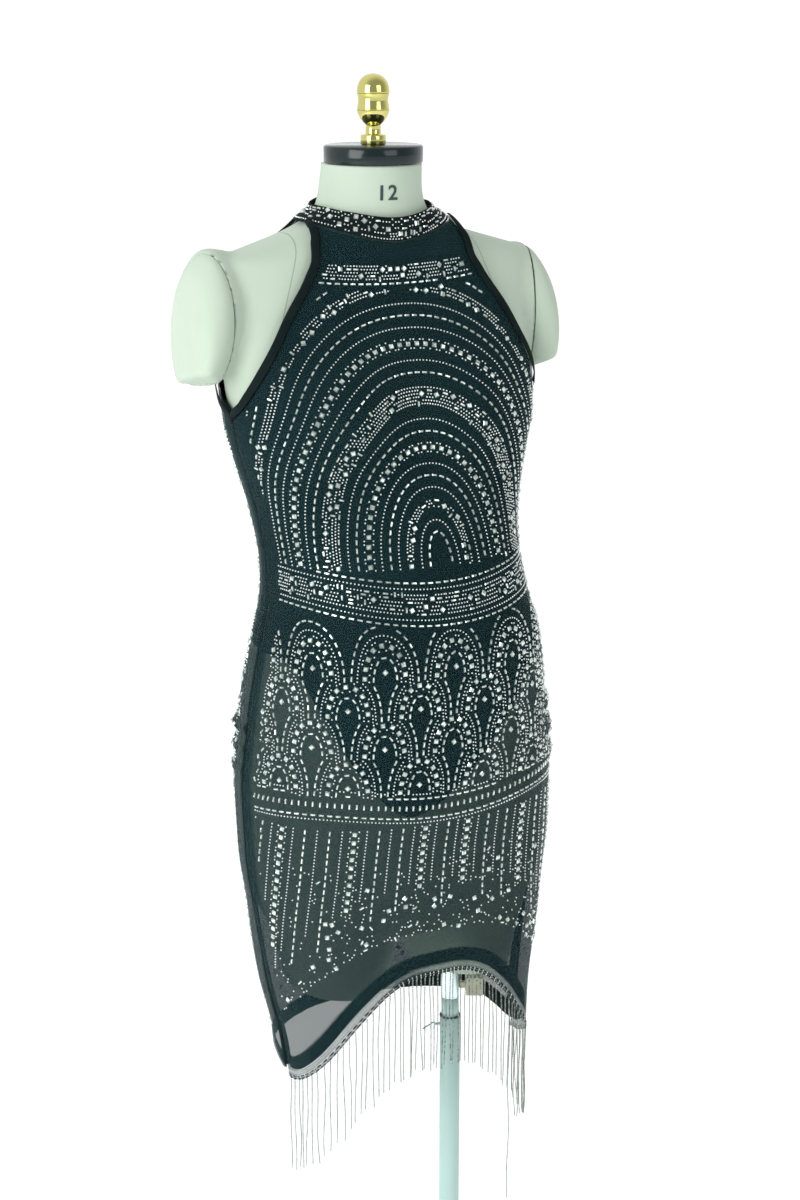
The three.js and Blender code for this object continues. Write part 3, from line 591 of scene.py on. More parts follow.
# ---------------------------------------------------------------- stand
# Heavy painted base plate with a welded socket, a painted tube in two lengths clamped by a
# winged screw, and a chromed sleeve that carries the form.
POLE_X = 78.0
pole_paint = plain_finish("pole_paint", [(0.38, 0.55, 0.51), (0.41, 0.59, 0.55)], 6.0, 0.32)
base_paint = plain_finish("base_paint", [(0.40, 0.54, 0.50), (0.44, 0.58, 0.54)], 5.0, 0.4)
bright_chrome = plain_finish(
    "bright_chrome", [(0.78, 0.92, 0.96), (0.84, 0.95, 0.98)], 12.0, 0.35, metallic=1.0)
chrome = plain_finish("chrome", [(0.74, 0.82, 0.82), (0.80, 0.86, 0.86)], 12.0, 0.12, metallic=1.0)
catch_plastic = plain_finish("catch_plastic", [(0.42, 0.42, 0.30), (0.50, 0.50, 0.38)], 40.0, 0.5)
black_ring = plain_finish("black_ring", [(0.010, 0.016, 0.016), (0.016, 0.022, 0.022)], 90.0, 0.5)


def bar(radius, low, high, edge):
    """Profile of a solid bar with eased ends."""
    return rounded([(0, low), (radius, low), (radius, high), (0, high)], edge)


socket_ring = [(12.5, 8.3), (24, 8.3), (24, 36), (23.2, 38.6), (21, 40), (12.5, 40), (12.5, 8.3)]
mouth = [(10.5, 538.3), (12.4, 538.3), (12.4, 539.5), (10.5, 539.5), (10.5, 538.3)]
plate = bar(190, 0, 8, 2.0)
turned_piece("base_turned", plate, 0, 0, 160, base_paint, "base_paint", "base_plate")
turned_piece("socket_turned", socket_ring, POLE_X, 0, 96, base_paint, "base_paint", "base_socket")
for name, node_name, profile, material, slot_name in (
    ("lower_tube", "pole_lower", bar(12.2, 8.3, 538.0, 0.8), pole_paint, "pole_paint"),
    ("upper_tube", "pole_upper", bar(10.2, 538.3, 563.0, 0.8), pole_paint, "pole_paint"),
    ("sleeve_tube", "pole_sleeve", bar(11.2, 563.3, 624.7, 0.8), bright_chrome, "chrome"),
    ("mouth_ring", "pole_ring", mouth, black_ring, "black_ring"),
):
    turned_piece(name, profile, POLE_X, 0, 64, material, slot_name, node_name)


def refinished(name, material, edge):
    """Gives a CAD node its finish and eases its edges."""
    mesh = nodes[name].data
    mesh.materials.clear()
    mesh.materials.append(material)
    mesh.polygons.foreach_set("material_index", [0] * len(mesh.polygons))
    bevel = nodes[name].modifiers.new("eased_edges", "BEVEL")
    bevel.width = edge * MM
    bevel.segments = 3


refinished("wing_bolt", chrome, 0.8)
refinished("pole_catch", catch_plastic, 1.6)


# ---------------------------------------------------------------- lining
# Opaque black knit bodysuit in two halves, hung from the neck seam and stretched over the form.
# Its curved lower edge shows through the outer cloth and has slid round to the wearer's right.
UNDERARM = 1284.0
ARMHOLE = np.array([
    # z, front, back: degrees that a panel reaches round from its own centre line
    (1284, 90, 90), (1300, 83.5, 79), (1325, 78, 70), (1355, 74, 63), (1390, 71, 57),
    (1425, 67.5, 54), (1450, 65.5, 51), (1462, 67, 50), (1470, 71, 52), (1478, 80, 57),
])
NECK_FRONT, NECK_SIDE, NECK_BACK = 1462.0, 1477.0, 1480.0
SEAM_GAP = 0.3
LINING_INNER, LINING_OUTER = 3.0, 3.7
LINING_SIDE = 1024.0
LINING_GRID = 91, 90, 60  # columns, and rows below and above the underarm
CENTRE = {"front": 0.0, "back": math.pi}


def reach_at(z, faces):
    return np.radians(column_value(ARMHOLE[:, 0], ARMHOLE[:, 1 if faces == "front" else 2], z))


def swing(middle, sides, bend, angle):
    """A value that goes from the middle's to the sides' with the angle."""
    return middle + (sides - middle) * np.abs(np.sin(angle)) ** bend


def neck_seam(angle):
    middle = np.where(np.cos(angle) > 0, NECK_FRONT, NECK_BACK)
    return swing(middle, NECK_SIDE, 2, angle)


def top_of(faces, s):
    """Height of a panel's neck edge, at parts of its reach round from the centre line."""
    z = np.full_like(s, NECK_SIDE)
    for _ in range(12):
        z = neck_seam(CENTRE[faces] + s * reach_at(z, faces))
    return z


def panel_grid(faces, columns, skirt_rows, yoke_rows, lower_edge, neck_inset=0, reach_inset=0):
    """Angles and heights of a panel's points, columns by rows."""
    s = np.linspace(-1, 1, columns)[:, None]
    below = UNDERARM - neck_inset
    bottom = lower_edge(s * math.pi / 2)
    top = top_of(faces, s) - neck_inset
    skirt = bottom + (below - bottom) * np.linspace(0, 1, skirt_rows + 1)[None, :]
    t = (1 - np.cos(math.pi * np.linspace(0, 1, yoke_rows + 1)[None, 1:])) / 2
    z = np.concatenate([skirt, below + (top - below) * t], axis=1)
    inset = np.radians(reach_inset) * np.clip((z - below) / max(UNDERARM - below, 1e-6), 0, 1)
    width = np.maximum(np.abs(figure_point(CENTRE[faces] + math.pi / 2, z)[..., 0]), 40)
    reach = reach_at(z, faces) - inset - SEAM_GAP / 2 / width
    return CENTRE[faces] + s * reach, z


def lining_edge(turn, low):
    """Height of the lower edge by angle: lowest at a turn from the centre line."""
    def height(a):
        t = np.clip(1.3 * np.abs(a - turn) / (math.pi / 2 - np.sign(a - turn) * turn), 0, 1)
        return low + (LINING_SIDE - low) * t * t * (3 - 2 * t)
    return height


def shell_between(outer, inner):
    """Closed thin shell between two grids of points, which are columns by rows."""
    faces = []

    def quads(*corners):
        faces.extend(np.stack(corners, axis=-1).reshape(-1, 4).tolist())

    out, back = np.arange(2 * outer[..., 0].size).reshape(2, *outer.shape[:2])
    quads(out[:-1, :-1], out[1:, :-1], out[1:, 1:], out[:-1, 1:])
    quads(back[:-1, :-1], back[:-1, 1:], back[1:, 1:], back[1:, :-1])
    quads(back[:-1, 0], back[1:, 0], out[1:, 0], out[:-1, 0])
    quads(out[:-1, -1], out[1:, -1], back[1:, -1], back[:-1, -1])
    quads(out[0, :-1], out[0, 1:], back[0, 1:], back[0, :-1])
    quads(out[-1, :-1], back[-1, :-1], back[-1, 1:], out[-1, 1:])
    mesh = bpy.data.meshes.new("shell")
    points = np.concatenate([outer.reshape(-1, 3), inner.reshape(-1, 3)])
    mesh.from_pydata((points * MM).tolist(), [], faces)
    return mesh


knit, _, _ = painted("lining_knit", [(0.0045, 0.0075, 0.0075), (0.006, 0.010, 0.010)], 40.0,
                     Roughness=0.9, Specular_IOR_Level=0.1)
SHEETS = {}  # outer grids of the cloth pieces, which give the sizes that they were cut to
for faces, edge in (
    ("front", lining_edge(math.radians(-18.0), 855.0)), ("back", lining_edge(0.0, 872.0)),
):
    angle, z = panel_grid(faces, *LINING_GRID, edge, neck_inset=1.5, reach_inset=1.0)
    # Beside the armholes it lies close under the cloth, clear of the shoulders.
    outer_part = np.clip((np.abs(angle - CENTRE[faces]) / reach_at(z, faces) - 0.8) / 0.14, 0, 1)
    lift = 1.2 * outer_part * np.clip((z - 1262.0) / 30.0, 0, 1)
    name = f"bodysuit_{faces}"
    SHEETS[name] = off_figure(angle, z, LINING_OUTER + lift)
    lining = shell_between(SHEETS[name], off_figure(angle, z, LINING_INNER + lift))
    finished_piece(name, lining, knit, "lining_cloth", f"lining_{faces}")


# ---------------------------------------------------------------- outer mesh cloth
# Two panels of sheer black power mesh that meet at the sides. The cloth clings to the body,
# drags at the collar's corners, puckers beside the seam at the hip and bunches on the left hip.
CLOTH_OUTER, CLOTH_WALL = 6.9, 0.7
CLOTH_ROWS = 190, 70
SLIT_WIDTH, SLIT_END = 1.2, 1372.0


def hem_front(angle):
    return swing(667.0, 533.0, 3.5, angle)


def hem_back(angle):
    return swing(543.0, 533.0, 30.0, angle)


# Lengths round the body, from the centre front, on a fine grid of heights and angles.
LEVELS = np.arange(470.0, 1512.0, 4.0)
TURNS = np.radians(np.arange(0.0, 180.5, 0.75))
around = figure_point(TURNS[None, :], LEVELS[:, None])[..., :2]
pieces_of_round = np.linalg.norm(np.diff(around, axis=1), axis=2)
ARC = np.concatenate([np.zeros((len(LEVELS), 1)), np.cumsum(pieces_of_round, axis=1)], axis=1)


def arc_length(angle, z):
    """Distance round the body from the centre front, positive to the left side."""
    turn = np.abs(angle)
    rise = LEVELS[1] - LEVELS[0]
    i = np.clip(((z - LEVELS[0]) / rise).astype(int), 0, len(LEVELS) - 2)
    f = (z - LEVELS[i]) / rise
    k = np.clip((turn / TURNS[1]).astype(int), 0, len(TURNS) - 2)
    g = turn / TURNS[1] - k
    low = ARC[i, k] * (1 - g) + ARC[i, k + 1] * g
    high = ARC[i + 1, k] * (1 - g) + ARC[i + 1, k + 1] * g
    return np.sign(angle) * (low * (1 - f) + high * f)


def from_centre(faces, angle, z):
    """Arc length from the panel's own centre line, and its distance to the side seam."""
    side = arc_length(np.full_like(z, math.pi / 2), z)
    if faces == "front":
        u = arc_length(angle, z)
        return u, side - np.abs(u)
    half = arc_length(np.full_like(z, math.pi), z)
    u = half - arc_length(2 * math.pi - angle, z)
    u = np.where(angle > math.pi, u, arc_length(angle, z) - half)
    return u, (half - side) - np.abs(u)


def fold(u, z, line, height, width):
    """A soft ridge along a line of points, high in the middle and fading at both ends."""
    line = np.array(line, float)
    lengths = np.concatenate([[0], np.cumsum(np.linalg.norm(np.diff(line, axis=0), axis=1))])
    best = np.full(u.shape, 1e9)
    along = np.zeros(u.shape)
    for k in range(len(line) - 1):
        way = line[k + 1] - line[k]
        t = np.clip(((u - line[k][0]) * way[0] + (z - line[k][1]) * way[1]) / way.dot(way), 0, 1)
        gap = np.hypot(u - line[k][0] - t * way[0], z - line[k][1] - t * way[1])
        closer = gap < best
        best = np.where(closer, gap, best)
        along = np.where(closer, (lengths[k] + t * np.hypot(*way)) / lengths[-1], along)
    ridge = np.exp(-((best / width) ** 2)) - 0.35 * np.exp(-(((best - 2 * width) / width) ** 2))
    return height * ridge * np.sin(math.pi * np.clip(along, 0.03, 0.97)) ** 0.7


FRONT_FOLDS = [
    # points (round from the centre line, z) on the cloth, height, width
    ([(-80, 1462), (-84, 1430), (-92, 1392)], 1.6, 3.2),
    ([(-76, 1462), (-70, 1436), (-66, 1402)], 1.4, 3.0),
    ([(-70, 1460), (-56, 1442), (-40, 1424)], 1.0, 3.0),
    ([(78, 1462), (82, 1432), (92, 1396)], 1.3, 3.2),
    ([(72, 1462), (62, 1440), (52, 1412)], 0.9, 3.0),
    ([(-192, 948), (-214, 937), (-240, 934)], 6.0, 4.5),
    ([(-206, 922), (-222, 914), (-240, 911)], 3.2, 4.0),
    ([(-200, 898), (-220, 890), (-240, 887)], 2.8, 4.5),
    ([(-192, 868), (-220, 862), (-240, 860)], 2.2, 4.5),
    ([(-196, 836), (-218, 832), (-240, 831)], 1.6, 4.5),
    ([(120, 965), (170, 942), (238, 950)], 3.0, 8.0),
    ([(110, 938), (170, 912), (238, 922)], 4.2, 8.5),
    ([(120, 905), (175, 884), (238, 893)], 3.2, 8.0),
    ([(-60, 1018), (-110, 1000), (-170, 1006)], 1.0, 8.0),
    ([(40, 1130), (100, 1118), (170, 1140)], 1.0, 8.0),
]
BACK_FOLDS = [
    ([(-150, 1130), (-60, 1112), (40, 1118)], 2.0, 10.0),
    ([(140, 1102), (50, 1090), (-40, 1096)], 2.0, 10.0),
    ([(-238, 948), (-180, 930), (-120, 936)], 3.0, 8.0),
    ([(-238, 918), (-180, 904), (-110, 912)], 3.0, 8.0),
    ([(236, 934), (206, 930), (170, 934)], 6.0, 4.5),
    ([(236, 910), (202, 905), (166, 909)], 3.0, 4.5),
    ([(236, 886), (200, 882), (164, 886)], 2.6, 4.5),
]


def cloth_rise(faces, angle, z):
    """How far the cloth stands out from its plain form here."""
    u, to_seam = from_centre(faces, angle, z)
    rise = np.zeros(u.shape)
    for line, height, width in FRONT_FOLDS if faces == "front" else BACK_FOLDS:
        rise += fold(u, z, line, height, width)
    below = np.clip((UNDERARM - z) / 20.0, 0, 1)
    beside_seam, on_seam = ((to_seam - 5.0) / 3.0) ** 2, (to_seam / 1.6) ** 2
    rise += below * (0.7 * np.exp(-beside_seam) - 0.6 * np.exp(-on_seam))
    rise += 0.35 * np.sin(u / 31.0 + z / 47.0) * np.sin(z / 39.0 - u / 83.0)
    free = np.clip((760.0 - z) / 200.0, 0, 1) ** 1.3
    rise += free * (2.6 * np.sin(u / 24.0 + 0.8) + 1.4 * np.sin(u / 11.0 + z / 70.0))
    return np.maximum(rise, -1.2) * np.clip(to_seam / 1.5 + 0.75, 0, 1)


sheer, _, _ = painted(
    "power_mesh", [(0.005, 0.023, 0.027), (0.007, 0.028, 0.032)], 12.0,
    Roughness=0.8, Specular_IOR_Level=0.12, Alpha=0.53,
    Sheen_Weight=0.10, Sheen_Roughness=0.35, Sheen_Tint=(0.6, 0.9, 0.9, 1.0),
)


def cloth_panel(faces, columns, hem):
    """Shell of a panel of the outer cloth. Its outer grid is kept for its cut size."""
    angle, z = panel_grid(faces, columns, *CLOTH_ROWS, hem)
    off = CLOTH_OUTER + cloth_rise(faces, angle, z)
    SHEETS[f"dress_{faces}"] = off_figure(angle, z, off)
    return shell_between(SHEETS[f"dress_{faces}"], off_figure(angle, z, off - CLOTH_WALL))


finished_piece("dress_front", cloth_panel("front", 141, hem_front), sheer, "mesh_cloth",
               "front_panel")
# The back panel is parted at the nape, down to the end of its slit.
back_whole = cloth_panel("back", 120, hem_back)
bm = bmesh.new()
bm.from_mesh(back_whole)
bpy.data.meshes.remove(back_whole)
centres = [(face, face.calc_center_median()) for face in bm.faces]
slit = [face for face, at in centres if abs(at.x) < SLIT_WIDTH * MM and at.z > SLIT_END * MM]
bmesh.ops.delete(bm, geom=slit, context="FACES")
rims = [edge for edge in bm.edges if edge.is_boundary]
bmesh.ops.bridge_loops(bm, edges=rims)
finished_piece("dress_back", mesh_of(bm, "dress_back"), sheer, "mesh_cloth", "back_panel")


# ---------------------------------------------------------------- trims along the edges
# Binding folded over each armhole, black hem bands inside the hems, a strip of clear tape
# below the front hem and the stitched header that the strands hang from.
def dot(a, b):
    return np.sum(a * b, axis=-1)


def beside_edge(edge, u, distance):
    """Place beside an edge, square to it. A positive distance is to the left of its run."""
    angle, z = edge(u)
    before, after = edge(np.maximum(0, u - 1e-3)), edge(np.minimum(1, u + 1e-3))
    run = to_length_one(figure_point(*after) - figure_point(*before))
    for _ in range(3):
        across, up = slopes(angle, z)
        way = to_length_one(np.cross(to_length_one(np.cross(across, up)), run))
        way = way * np.asarray(distance)[..., None] / 3
        aa, ab, bb = dot(across, across), dot(across, up), dot(up, up)
        scale = aa * bb - ab * ab
        angle = angle + (dot(way, across) * bb - dot(way, up) * ab) / scale
        z = z + (dot(way, up) * aa - dot(way, across) * ab) / scale
    return angle, z


def armhole_edge(u):
    """The left armhole's edge, from the neck down the front and up the back."""
    top = ARMHOLE[-1, 0] - 3.0
    drop = 1 - np.abs(2 * u - 1)
    z = top + (UNDERARM - top) * np.sin(drop * math.pi / 2)
    front = u < 0.5
    reach = np.where(front, reach_at(z, "front"), reach_at(z, "back"))
    return np.where(front, reach, math.pi - reach), z


def edge_strip(name, edge, pieces, distances, outs, ins, rise_of=None):
    """Outer and inner grids of a strip beside an edge: a distance and an offset for each row."""
    u = np.linspace(0, 1, pieces + 1)[:, None] * np.ones((1, len(distances)))
    angle, z = beside_edge(edge, u, np.broadcast_to(np.asarray(distances, float), u.shape))
    rise = rise_of(angle, z) if rise_of else 0.0
    SHEETS[name] = off_figure(angle, z, np.asarray(outs, float)[None, :] + rise)
    return SHEETS[name], off_figure(angle, z, np.asarray(ins, float)[None, :] + rise)


BINDING_OFF = CLOTH_OUTER + 1.8
BINDING_ROWS = np.array([
    # distance from the edge, height over the cloth
    (0.2, 0.3), (0.8, 0.9), (2.0, 1.2), (4.5, 1.25), (6.6, 1.05), (7.0, 0.75), (7.4, 1.0),
    (8.4, 0.9), (9.0, 0.3),
])
binding_cloth, tree, _ = painted(
    "binding_cloth", [(0.0035, 0.0075, 0.008), (0.006, 0.012, 0.012)], 60.0,
    Roughness=0.7, Specular_IOR_Level=0.07,
)
raised_threads(tree, ["DIAGONAL"], 0.1, 0.1 * MM, Scale=350.0)
outer, inner = edge_strip(
    "binding_left", armhole_edge, 220, -BINDING_ROWS[:, 0], BINDING_OFF + BINDING_ROWS[:, 1],
    np.full(len(BINDING_ROWS), BINDING_OFF),
)
SHEETS["binding_right"] = outer
left_binding = shell_between(inner, outer)
right_binding = left_binding.copy()
right_binding.transform(Matrix.Scale(-1, 4, (1, 0, 0)))
right_binding.flip_normals()
for label, binding in (("left", left_binding), ("right", right_binding)):
    finished_piece(f"binding_{label}", binding, binding_cloth, "trim_cloth",
                   f"armhole_binding_{label}")

HEM_SIDE = 143  # the figure's half width at the hem
HEM_REACH = math.pi / 2 - SEAM_GAP / 2 / HEM_SIDE
HEM_PIECES = 240


def front_hem_edge(u):
    angle = -HEM_REACH + 2 * HEM_REACH * u
    return angle, hem_front(angle)


def front_rise(angle, z):
    return cloth_rise("front", angle, z)


hem_band = edge_strip(
    "hem_band", front_hem_edge, HEM_PIECES, [0.4, 2.0, 7.0, 12.0, 14.0],
    [4.3, 4.5, 4.5, 4.5, 4.3], [3.7, 3.5, 3.5, 3.5, 3.7], front_rise,
)
finished_piece("hem_band", shell_between(*hem_band), binding_cloth, "trim_cloth",
               "front_hem_band")

# At the sides both panels are turned in along the seam, which shows as a darker strip, and the
# stitching draws a thin welt along it. The back hem is turned up a finger's breadth.
SEAM_LOW, SEAM_HIGH = 537.0, 1277.0


def seam_strip(side, across, outer_off, inner_off):
    """Shell of a strip along a side seam, at distances across it."""
    z = np.linspace(SEAM_LOW, SEAM_HIGH, 320)[:, None]
    across = np.asarray(across, float)[None, :]
    turn = math.pi / 2 + across / np.abs(figure_point(np.full_like(z, math.pi / 2), z)[..., 0])
    z = z * np.ones_like(turn)
    front = cloth_rise("front", side * np.minimum(turn, math.pi / 2), z)
    back_turn = np.maximum(turn, math.pi / 2)
    back = cloth_rise("back", back_turn if side > 0 else 2 * math.pi - back_turn, z)
    rise = np.where(turn < math.pi / 2, front, back)
    sheets = [off_figure(side * turn, z, off + rise) for off in (outer_off, inner_off)]
    return shell_between(*(sheets if side < 0 else sheets[::-1]))


for side, label in ((1, "left"), (-1, "right")):
    allowance = seam_strip(side, np.linspace(-7.0, 7.0, 9), 5.0, 4.4)
    finished_piece(f"seam_allowance_{label}", allowance, binding_cloth, "trim_cloth")
    welt = seam_strip(side, [-0.8, 0.0, 0.8], 7.3, 5.9)
    finished_piece(f"seam_welt_{label}", welt, binding_cloth, "trim_cloth")

turn = np.linspace(math.pi / 2 + 0.01, 3 * math.pi / 2 - 0.01, 240)[:, None]
level = hem_back(turn - math.pi) + np.array([[0.6, 6.0, 13.0, 19.0]])
turn = turn * np.ones_like(level)
rise = cloth_rise("back", turn, level)
back_fold = shell_between(*(off_figure(turn, level, off + rise) for off in (5.3, 4.7)))
finished_piece("back_hem_fold", back_fold, binding_cloth, "trim_cloth")

tape_film, _, _ = painted("clear_tape", [(0.10, 0.14, 0.135), (0.16, 0.21, 0.20)], 50.0,
                          Roughness=0.35, Alpha=0.55)
tape = edge_strip("tape_strip", front_hem_edge, HEM_PIECES, [-6.0, -3.0, -0.3],
                  [6.7] * 3, [6.1] * 3, front_rise)
finished_piece("tape_strip", shell_between(*tape), tape_film, "clear_tape", "hem_tape")


# ---------------------------------------------------------------- fringe
# Sixty strands of small round stones in cups, sewn to the header and hanging straight down.
# Those at the wearer's left have caught on each other.
def setting_tree():
    """Node tree that sets a unit on every point, turned and sized by the point's attributes."""
    tree = bpy.data.node_groups.new("set_on_points", "GeometryNodeTree")
    for name, kind in (("Points", "Geometry"), ("Unit", "Object"), ("Unit Size", "Float"),
                       ("Finish", "Material")):
        tree.interface.new_socket(name, in_out="INPUT", socket_type=f"NodeSocket{kind}")
    tree.interface.new_socket("Set", in_out="OUTPUT", socket_type="NodeSocketGeometry")
    given, result = tree.nodes.new("NodeGroupInput"), tree.nodes.new("NodeGroupOutput")
    turn, size = (
        add_node(tree, "GeometryNodeInputNamedAttribute", data_type="FLOAT_VECTOR")
        for _ in range(2)
    )
    set_sockets(turn, Name="turn")
    set_sockets(size, Name="size")
    unit = tree.nodes.new("GeometryNodeObjectInfo")
    scaled = add_node(tree, "ShaderNodeVectorMath", operation="SCALE")
    instances = tree.nodes.new("GeometryNodeInstanceOnPoints")
    real = tree.nodes.new("GeometryNodeRealizeInstances")
    finish = tree.nodes.new("GeometryNodeSetMaterial")
    for source, output, target, socket in (
        (given, "Unit", unit, "Object"),
        (given, "Points", instances, "Points"),
        (unit, "Geometry", instances, "Instance"),
        (turn, "Attribute", instances, "Rotation"),
        (size, "Attribute", scaled, 0),
        (given, "Unit Size", scaled, "Scale"),
        (scaled, "Vector", instances, "Scale"),
        (instances, "Instances", real, "Geometry"),
        (real, "Geometry", finish, "Geometry"),
        (given, "Finish", finish, "Material"),
        (finish, "Geometry", result, "Set"),
    ):
        tree.links.new(source.outputs[output], target.inputs[socket])
    return tree


SETTING = setting_tree()


def set_pieces(name, unit_mesh, places, turns, sizes, material, slot_name, *replaces):
    """One piece with a copy of the unit at every place."""
    cloud = bpy.data.meshes.new(name + "_points")
    cloud.from_pydata((np.asarray(places) * MM).tolist(), [], [])
    for key, values in (("turn", turns), ("size", sizes)):
        layer = cloud.attributes.new(key, "FLOAT_VECTOR", "POINT")
        layer.data.foreach_set("vector", np.asarray(values, dtype=np.float32).ravel())
    holder = bpy.data.objects.new(name + "_points", cloud)
    unit = bpy.data.objects.new(name + "_unit", unit_mesh)
    for thing in (holder, unit):
        scene.collection.objects.link(thing)
    setting = holder.modifiers.new("setting", "NODES")
    setting.node_group = SETTING
    given = {"Unit": unit, "Unit Size": MM, "Finish": material}
    for item in SETTING.interface.items_tree:
        if item.in_out == "INPUT" and item.name in given:
            setting[item.identifier] = given[item.name]
    mesh = mesh_as_seen(holder)
    bpy.data.objects.remove(unit)
    for key in ("turn", "size"):
        if key in mesh.attributes:
            mesh.attributes.remove(mesh.attributes[key])
    finished_piece(name, mesh, material, slot_name, *replaces, smooth=False)


def bead(name, radius):
    """A small faceted bead of twenty faces."""
    bm = bmesh.new()
    bmesh.ops.create_icosphere(bm, subdivisions=1, radius=radius)
    return mesh_of(bm, name)


silver, _, _ = painted("cup_chain", [(0.04, 0.055, 0.05), (0.42, 0.50, 0.46)], 420.0, 1.0,
                       Metallic=0.15, Roughness=0.35)
STRANDS = 60
STRAND_LINE = -11.3
BEAD_RADIUS, BEAD_PITCH = 1.0, 2.2
dice = random.Random(7)
hung_u = np.array([(n + 0.5 + dice.uniform(-0.14, 0.14)) / STRANDS for n in range(STRANDS)])
edge_angle, edge_z = beside_edge(front_hem_edge, hung_u, np.full(STRANDS, STRAND_LINE))
rise = front_rise(edge_angle, edge_z)
flat_out = to_length_one(figure_normal(edge_angle, edge_z) * [1, 1, 0])
tops = figure_point(edge_angle, edge_z) + flat_out * (6.3 + rise)[:, None]
beads = []
for n in range(STRANDS):
    length = 116.0 + dice.uniform(-5.0, 3.0)
    side = np.cross([0, 0, 1], flat_out[n])
    caught = max(0.0, (hung_u[n] - 0.86) / 0.14)
    drift = dice.uniform(-2.6, 2.6) + caught * dice.uniform(-7.0, 3.0)
    sway, phase = dice.uniform(0.4, 1.2) + 1.4 * caught, dice.uniform(0, 6.28)
    for k in range(int(length / BEAD_PITCH)):
        down = (k + 0.5) * BEAD_PITCH
        t = down / 120.0
        shift = drift * t ** 1.4 + sway * math.sin(phase + 5.0 * t) * min(1.0, 3 * t)
        beads.append(tops[n] + side * shift + flat_out[n] * 0.5 * sway * math.sin(phase + 9 * t)
                     - np.array([0, 0, down]))
set_pieces(
    "fringe_strands", bead("bead", BEAD_RADIUS), beads, [(0, 0, dice.uniform(0, 3)) for _ in beads],
    [(1.0, 1.0, 1.0)] * len(beads), silver, "rhinestones", "fringe",
)

# One strand has come loose from the left end of the fringe and hangs further down.
LOOSE_U, LOOSE_LENGTH = 145.0 / 180.0, 254.0
loose_angle, loose_z = beside_edge(front_hem_edge, np.array([LOOSE_U]), np.array([STRAND_LINE]))
loose_out = to_length_one(figure_normal(loose_angle, loose_z)[0] * [1, 1, 0])
loose_top = figure_point(loose_angle, loose_z)[0] + loose_out * 2.3
loose = [
    loose_top + [0.7 * math.sin(down / 21.0), 0.5 * math.sin(down / 16.0 + 1), -down]
    for down in np.arange(1.2, LOOSE_LENGTH, BEAD_PITCH)
]
set_pieces(
    "loose_beads", bead("loose_bead", BEAD_RADIUS), loose,
    [(0, 0, 0.3 * k) for k in range(len(loose))],
    [(1.0, 1.0, 1.0)] * len(loose), silver, "rhinestones", "loose_strand",
)


# ---------------------------------------------------------------- collar
# Stand-up band of black cloth, sewn to the neck edges of both panels and fully stoned. It closes
# behind the neck with two small covered buttons.
COLLAR_INNER, COLLAR_OUTER = 5.0, 6.9
PARTING = 0.5 / 81  # half the opening at the nape, as an angle


def collar_top(angle):
    return swing(np.where(np.cos(angle) > 0, 1487.0, 1506.0), 1496.0, 2, angle)


def collar_grid(off, columns=181, rows=9):
    """Points of the band's outer or inner side, with rolled edges and a faint wave."""
    angle = np.linspace(-math.pi + PARTING, math.pi - PARTING, columns)[:, None]
    bottom, top = neck_seam(angle) + SEAM_GAP, collar_top(angle)
    t = np.linspace(0, 1, rows)[None, :]
    z = bottom + (top - bottom) * t
    angle = angle * np.ones_like(z)
    roll = 0.5 * (np.abs(2 * t - 1) ** 6) * (1 if off == COLLAR_OUTER else -1)
    return off_figure(angle, z, off - roll + 0.3 * np.sin(angle * 9) * t)


SHEETS["collar_band"] = collar_grid(COLLAR_OUTER)
finished_piece("collar_band", shell_between(SHEETS["collar_band"], collar_grid(COLLAR_INNER)),
               binding_cloth, "trim_cloth", "collar")
button_cloth = plain_finish(
    "button_cloth", [(0.004, 0.008, 0.008), (0.008, 0.014, 0.014)], 300.0, 0.6, 0.2)
refinished("collar_button_lower", button_cloth, 0.6)
refinished("collar_button_upper", button_cloth, 0.6)

# ---------------------------------------------------------------- header of the fringe
# Clear film stitched with two rows of black thread. Each strand hangs from its lower edge, and
# white lashes hold it on both rows.
film = edge_strip("header_film", front_hem_edge, HEM_PIECES, [-11.0, -8.6, -6.3],
                  [6.8, 6.9, 6.8], [6.1] * 3, front_rise)
finished_piece("header_film", shell_between(*film), tape_film, "clear_tape", "fringe_header")
UPPER_STITCHES, LOWER_STITCHES = -7.2, -9.9
STITCH_PITCH, STITCH_OFF = 7.6, 6.95
FRONT_HEM_LONG = 480.0
SQUARE = [(-0.5, -0.5), (0.5, -0.5), (0.5, 0.5), (-0.5, 0.5)]


def turns_of(normals, runs):
    """Rotations that put a unit's Z along the normal and its X along the run."""
    z = to_length_one(normals)
    x = to_length_one(runs - dot(runs, z)[:, None] * z)
    y = np.cross(z, x)
    return [Matrix(np.stack(axes, axis=1).tolist()).to_euler() for axes in zip(x, y, z)]


def frustum(name, corners, top):
    """Unit solid that narrows from a flat polygon to a smaller one, one unit above."""
    count = len(corners)
    points = [(x, y, 0.0) for x, y in corners] + [(x * top, y * top, 1.0) for x, y in corners]
    faces = [tuple(range(count - 1, -1, -1)), tuple(range(count, 2 * count))]
    faces += [(i, (i + 1) % count, count + (i + 1) % count, count + i) for i in range(count)]
    mesh = bpy.data.meshes.new(name)
    mesh.from_pydata(points, [], faces)
    return mesh


def along_hem(distance, pitch, off, shift=0.0):
    """Places, normals and runs at an even pitch beside the front hem."""
    count = int(FRONT_HEM_LONG / pitch)
    u = (np.arange(count) + 0.5 + shift) / count
    u = u[(u > 0.004) & (u < 0.996)]
    distance = np.full(u.shape, distance)
    here, ahead = (beside_edge(front_hem_edge, at, distance) for at in (u, u + 0.002))
    place, further = (off_figure(*at, off + front_rise(*at)) for at in (here, ahead))
    return place, figure_normal(*here), to_length_one(further - place)


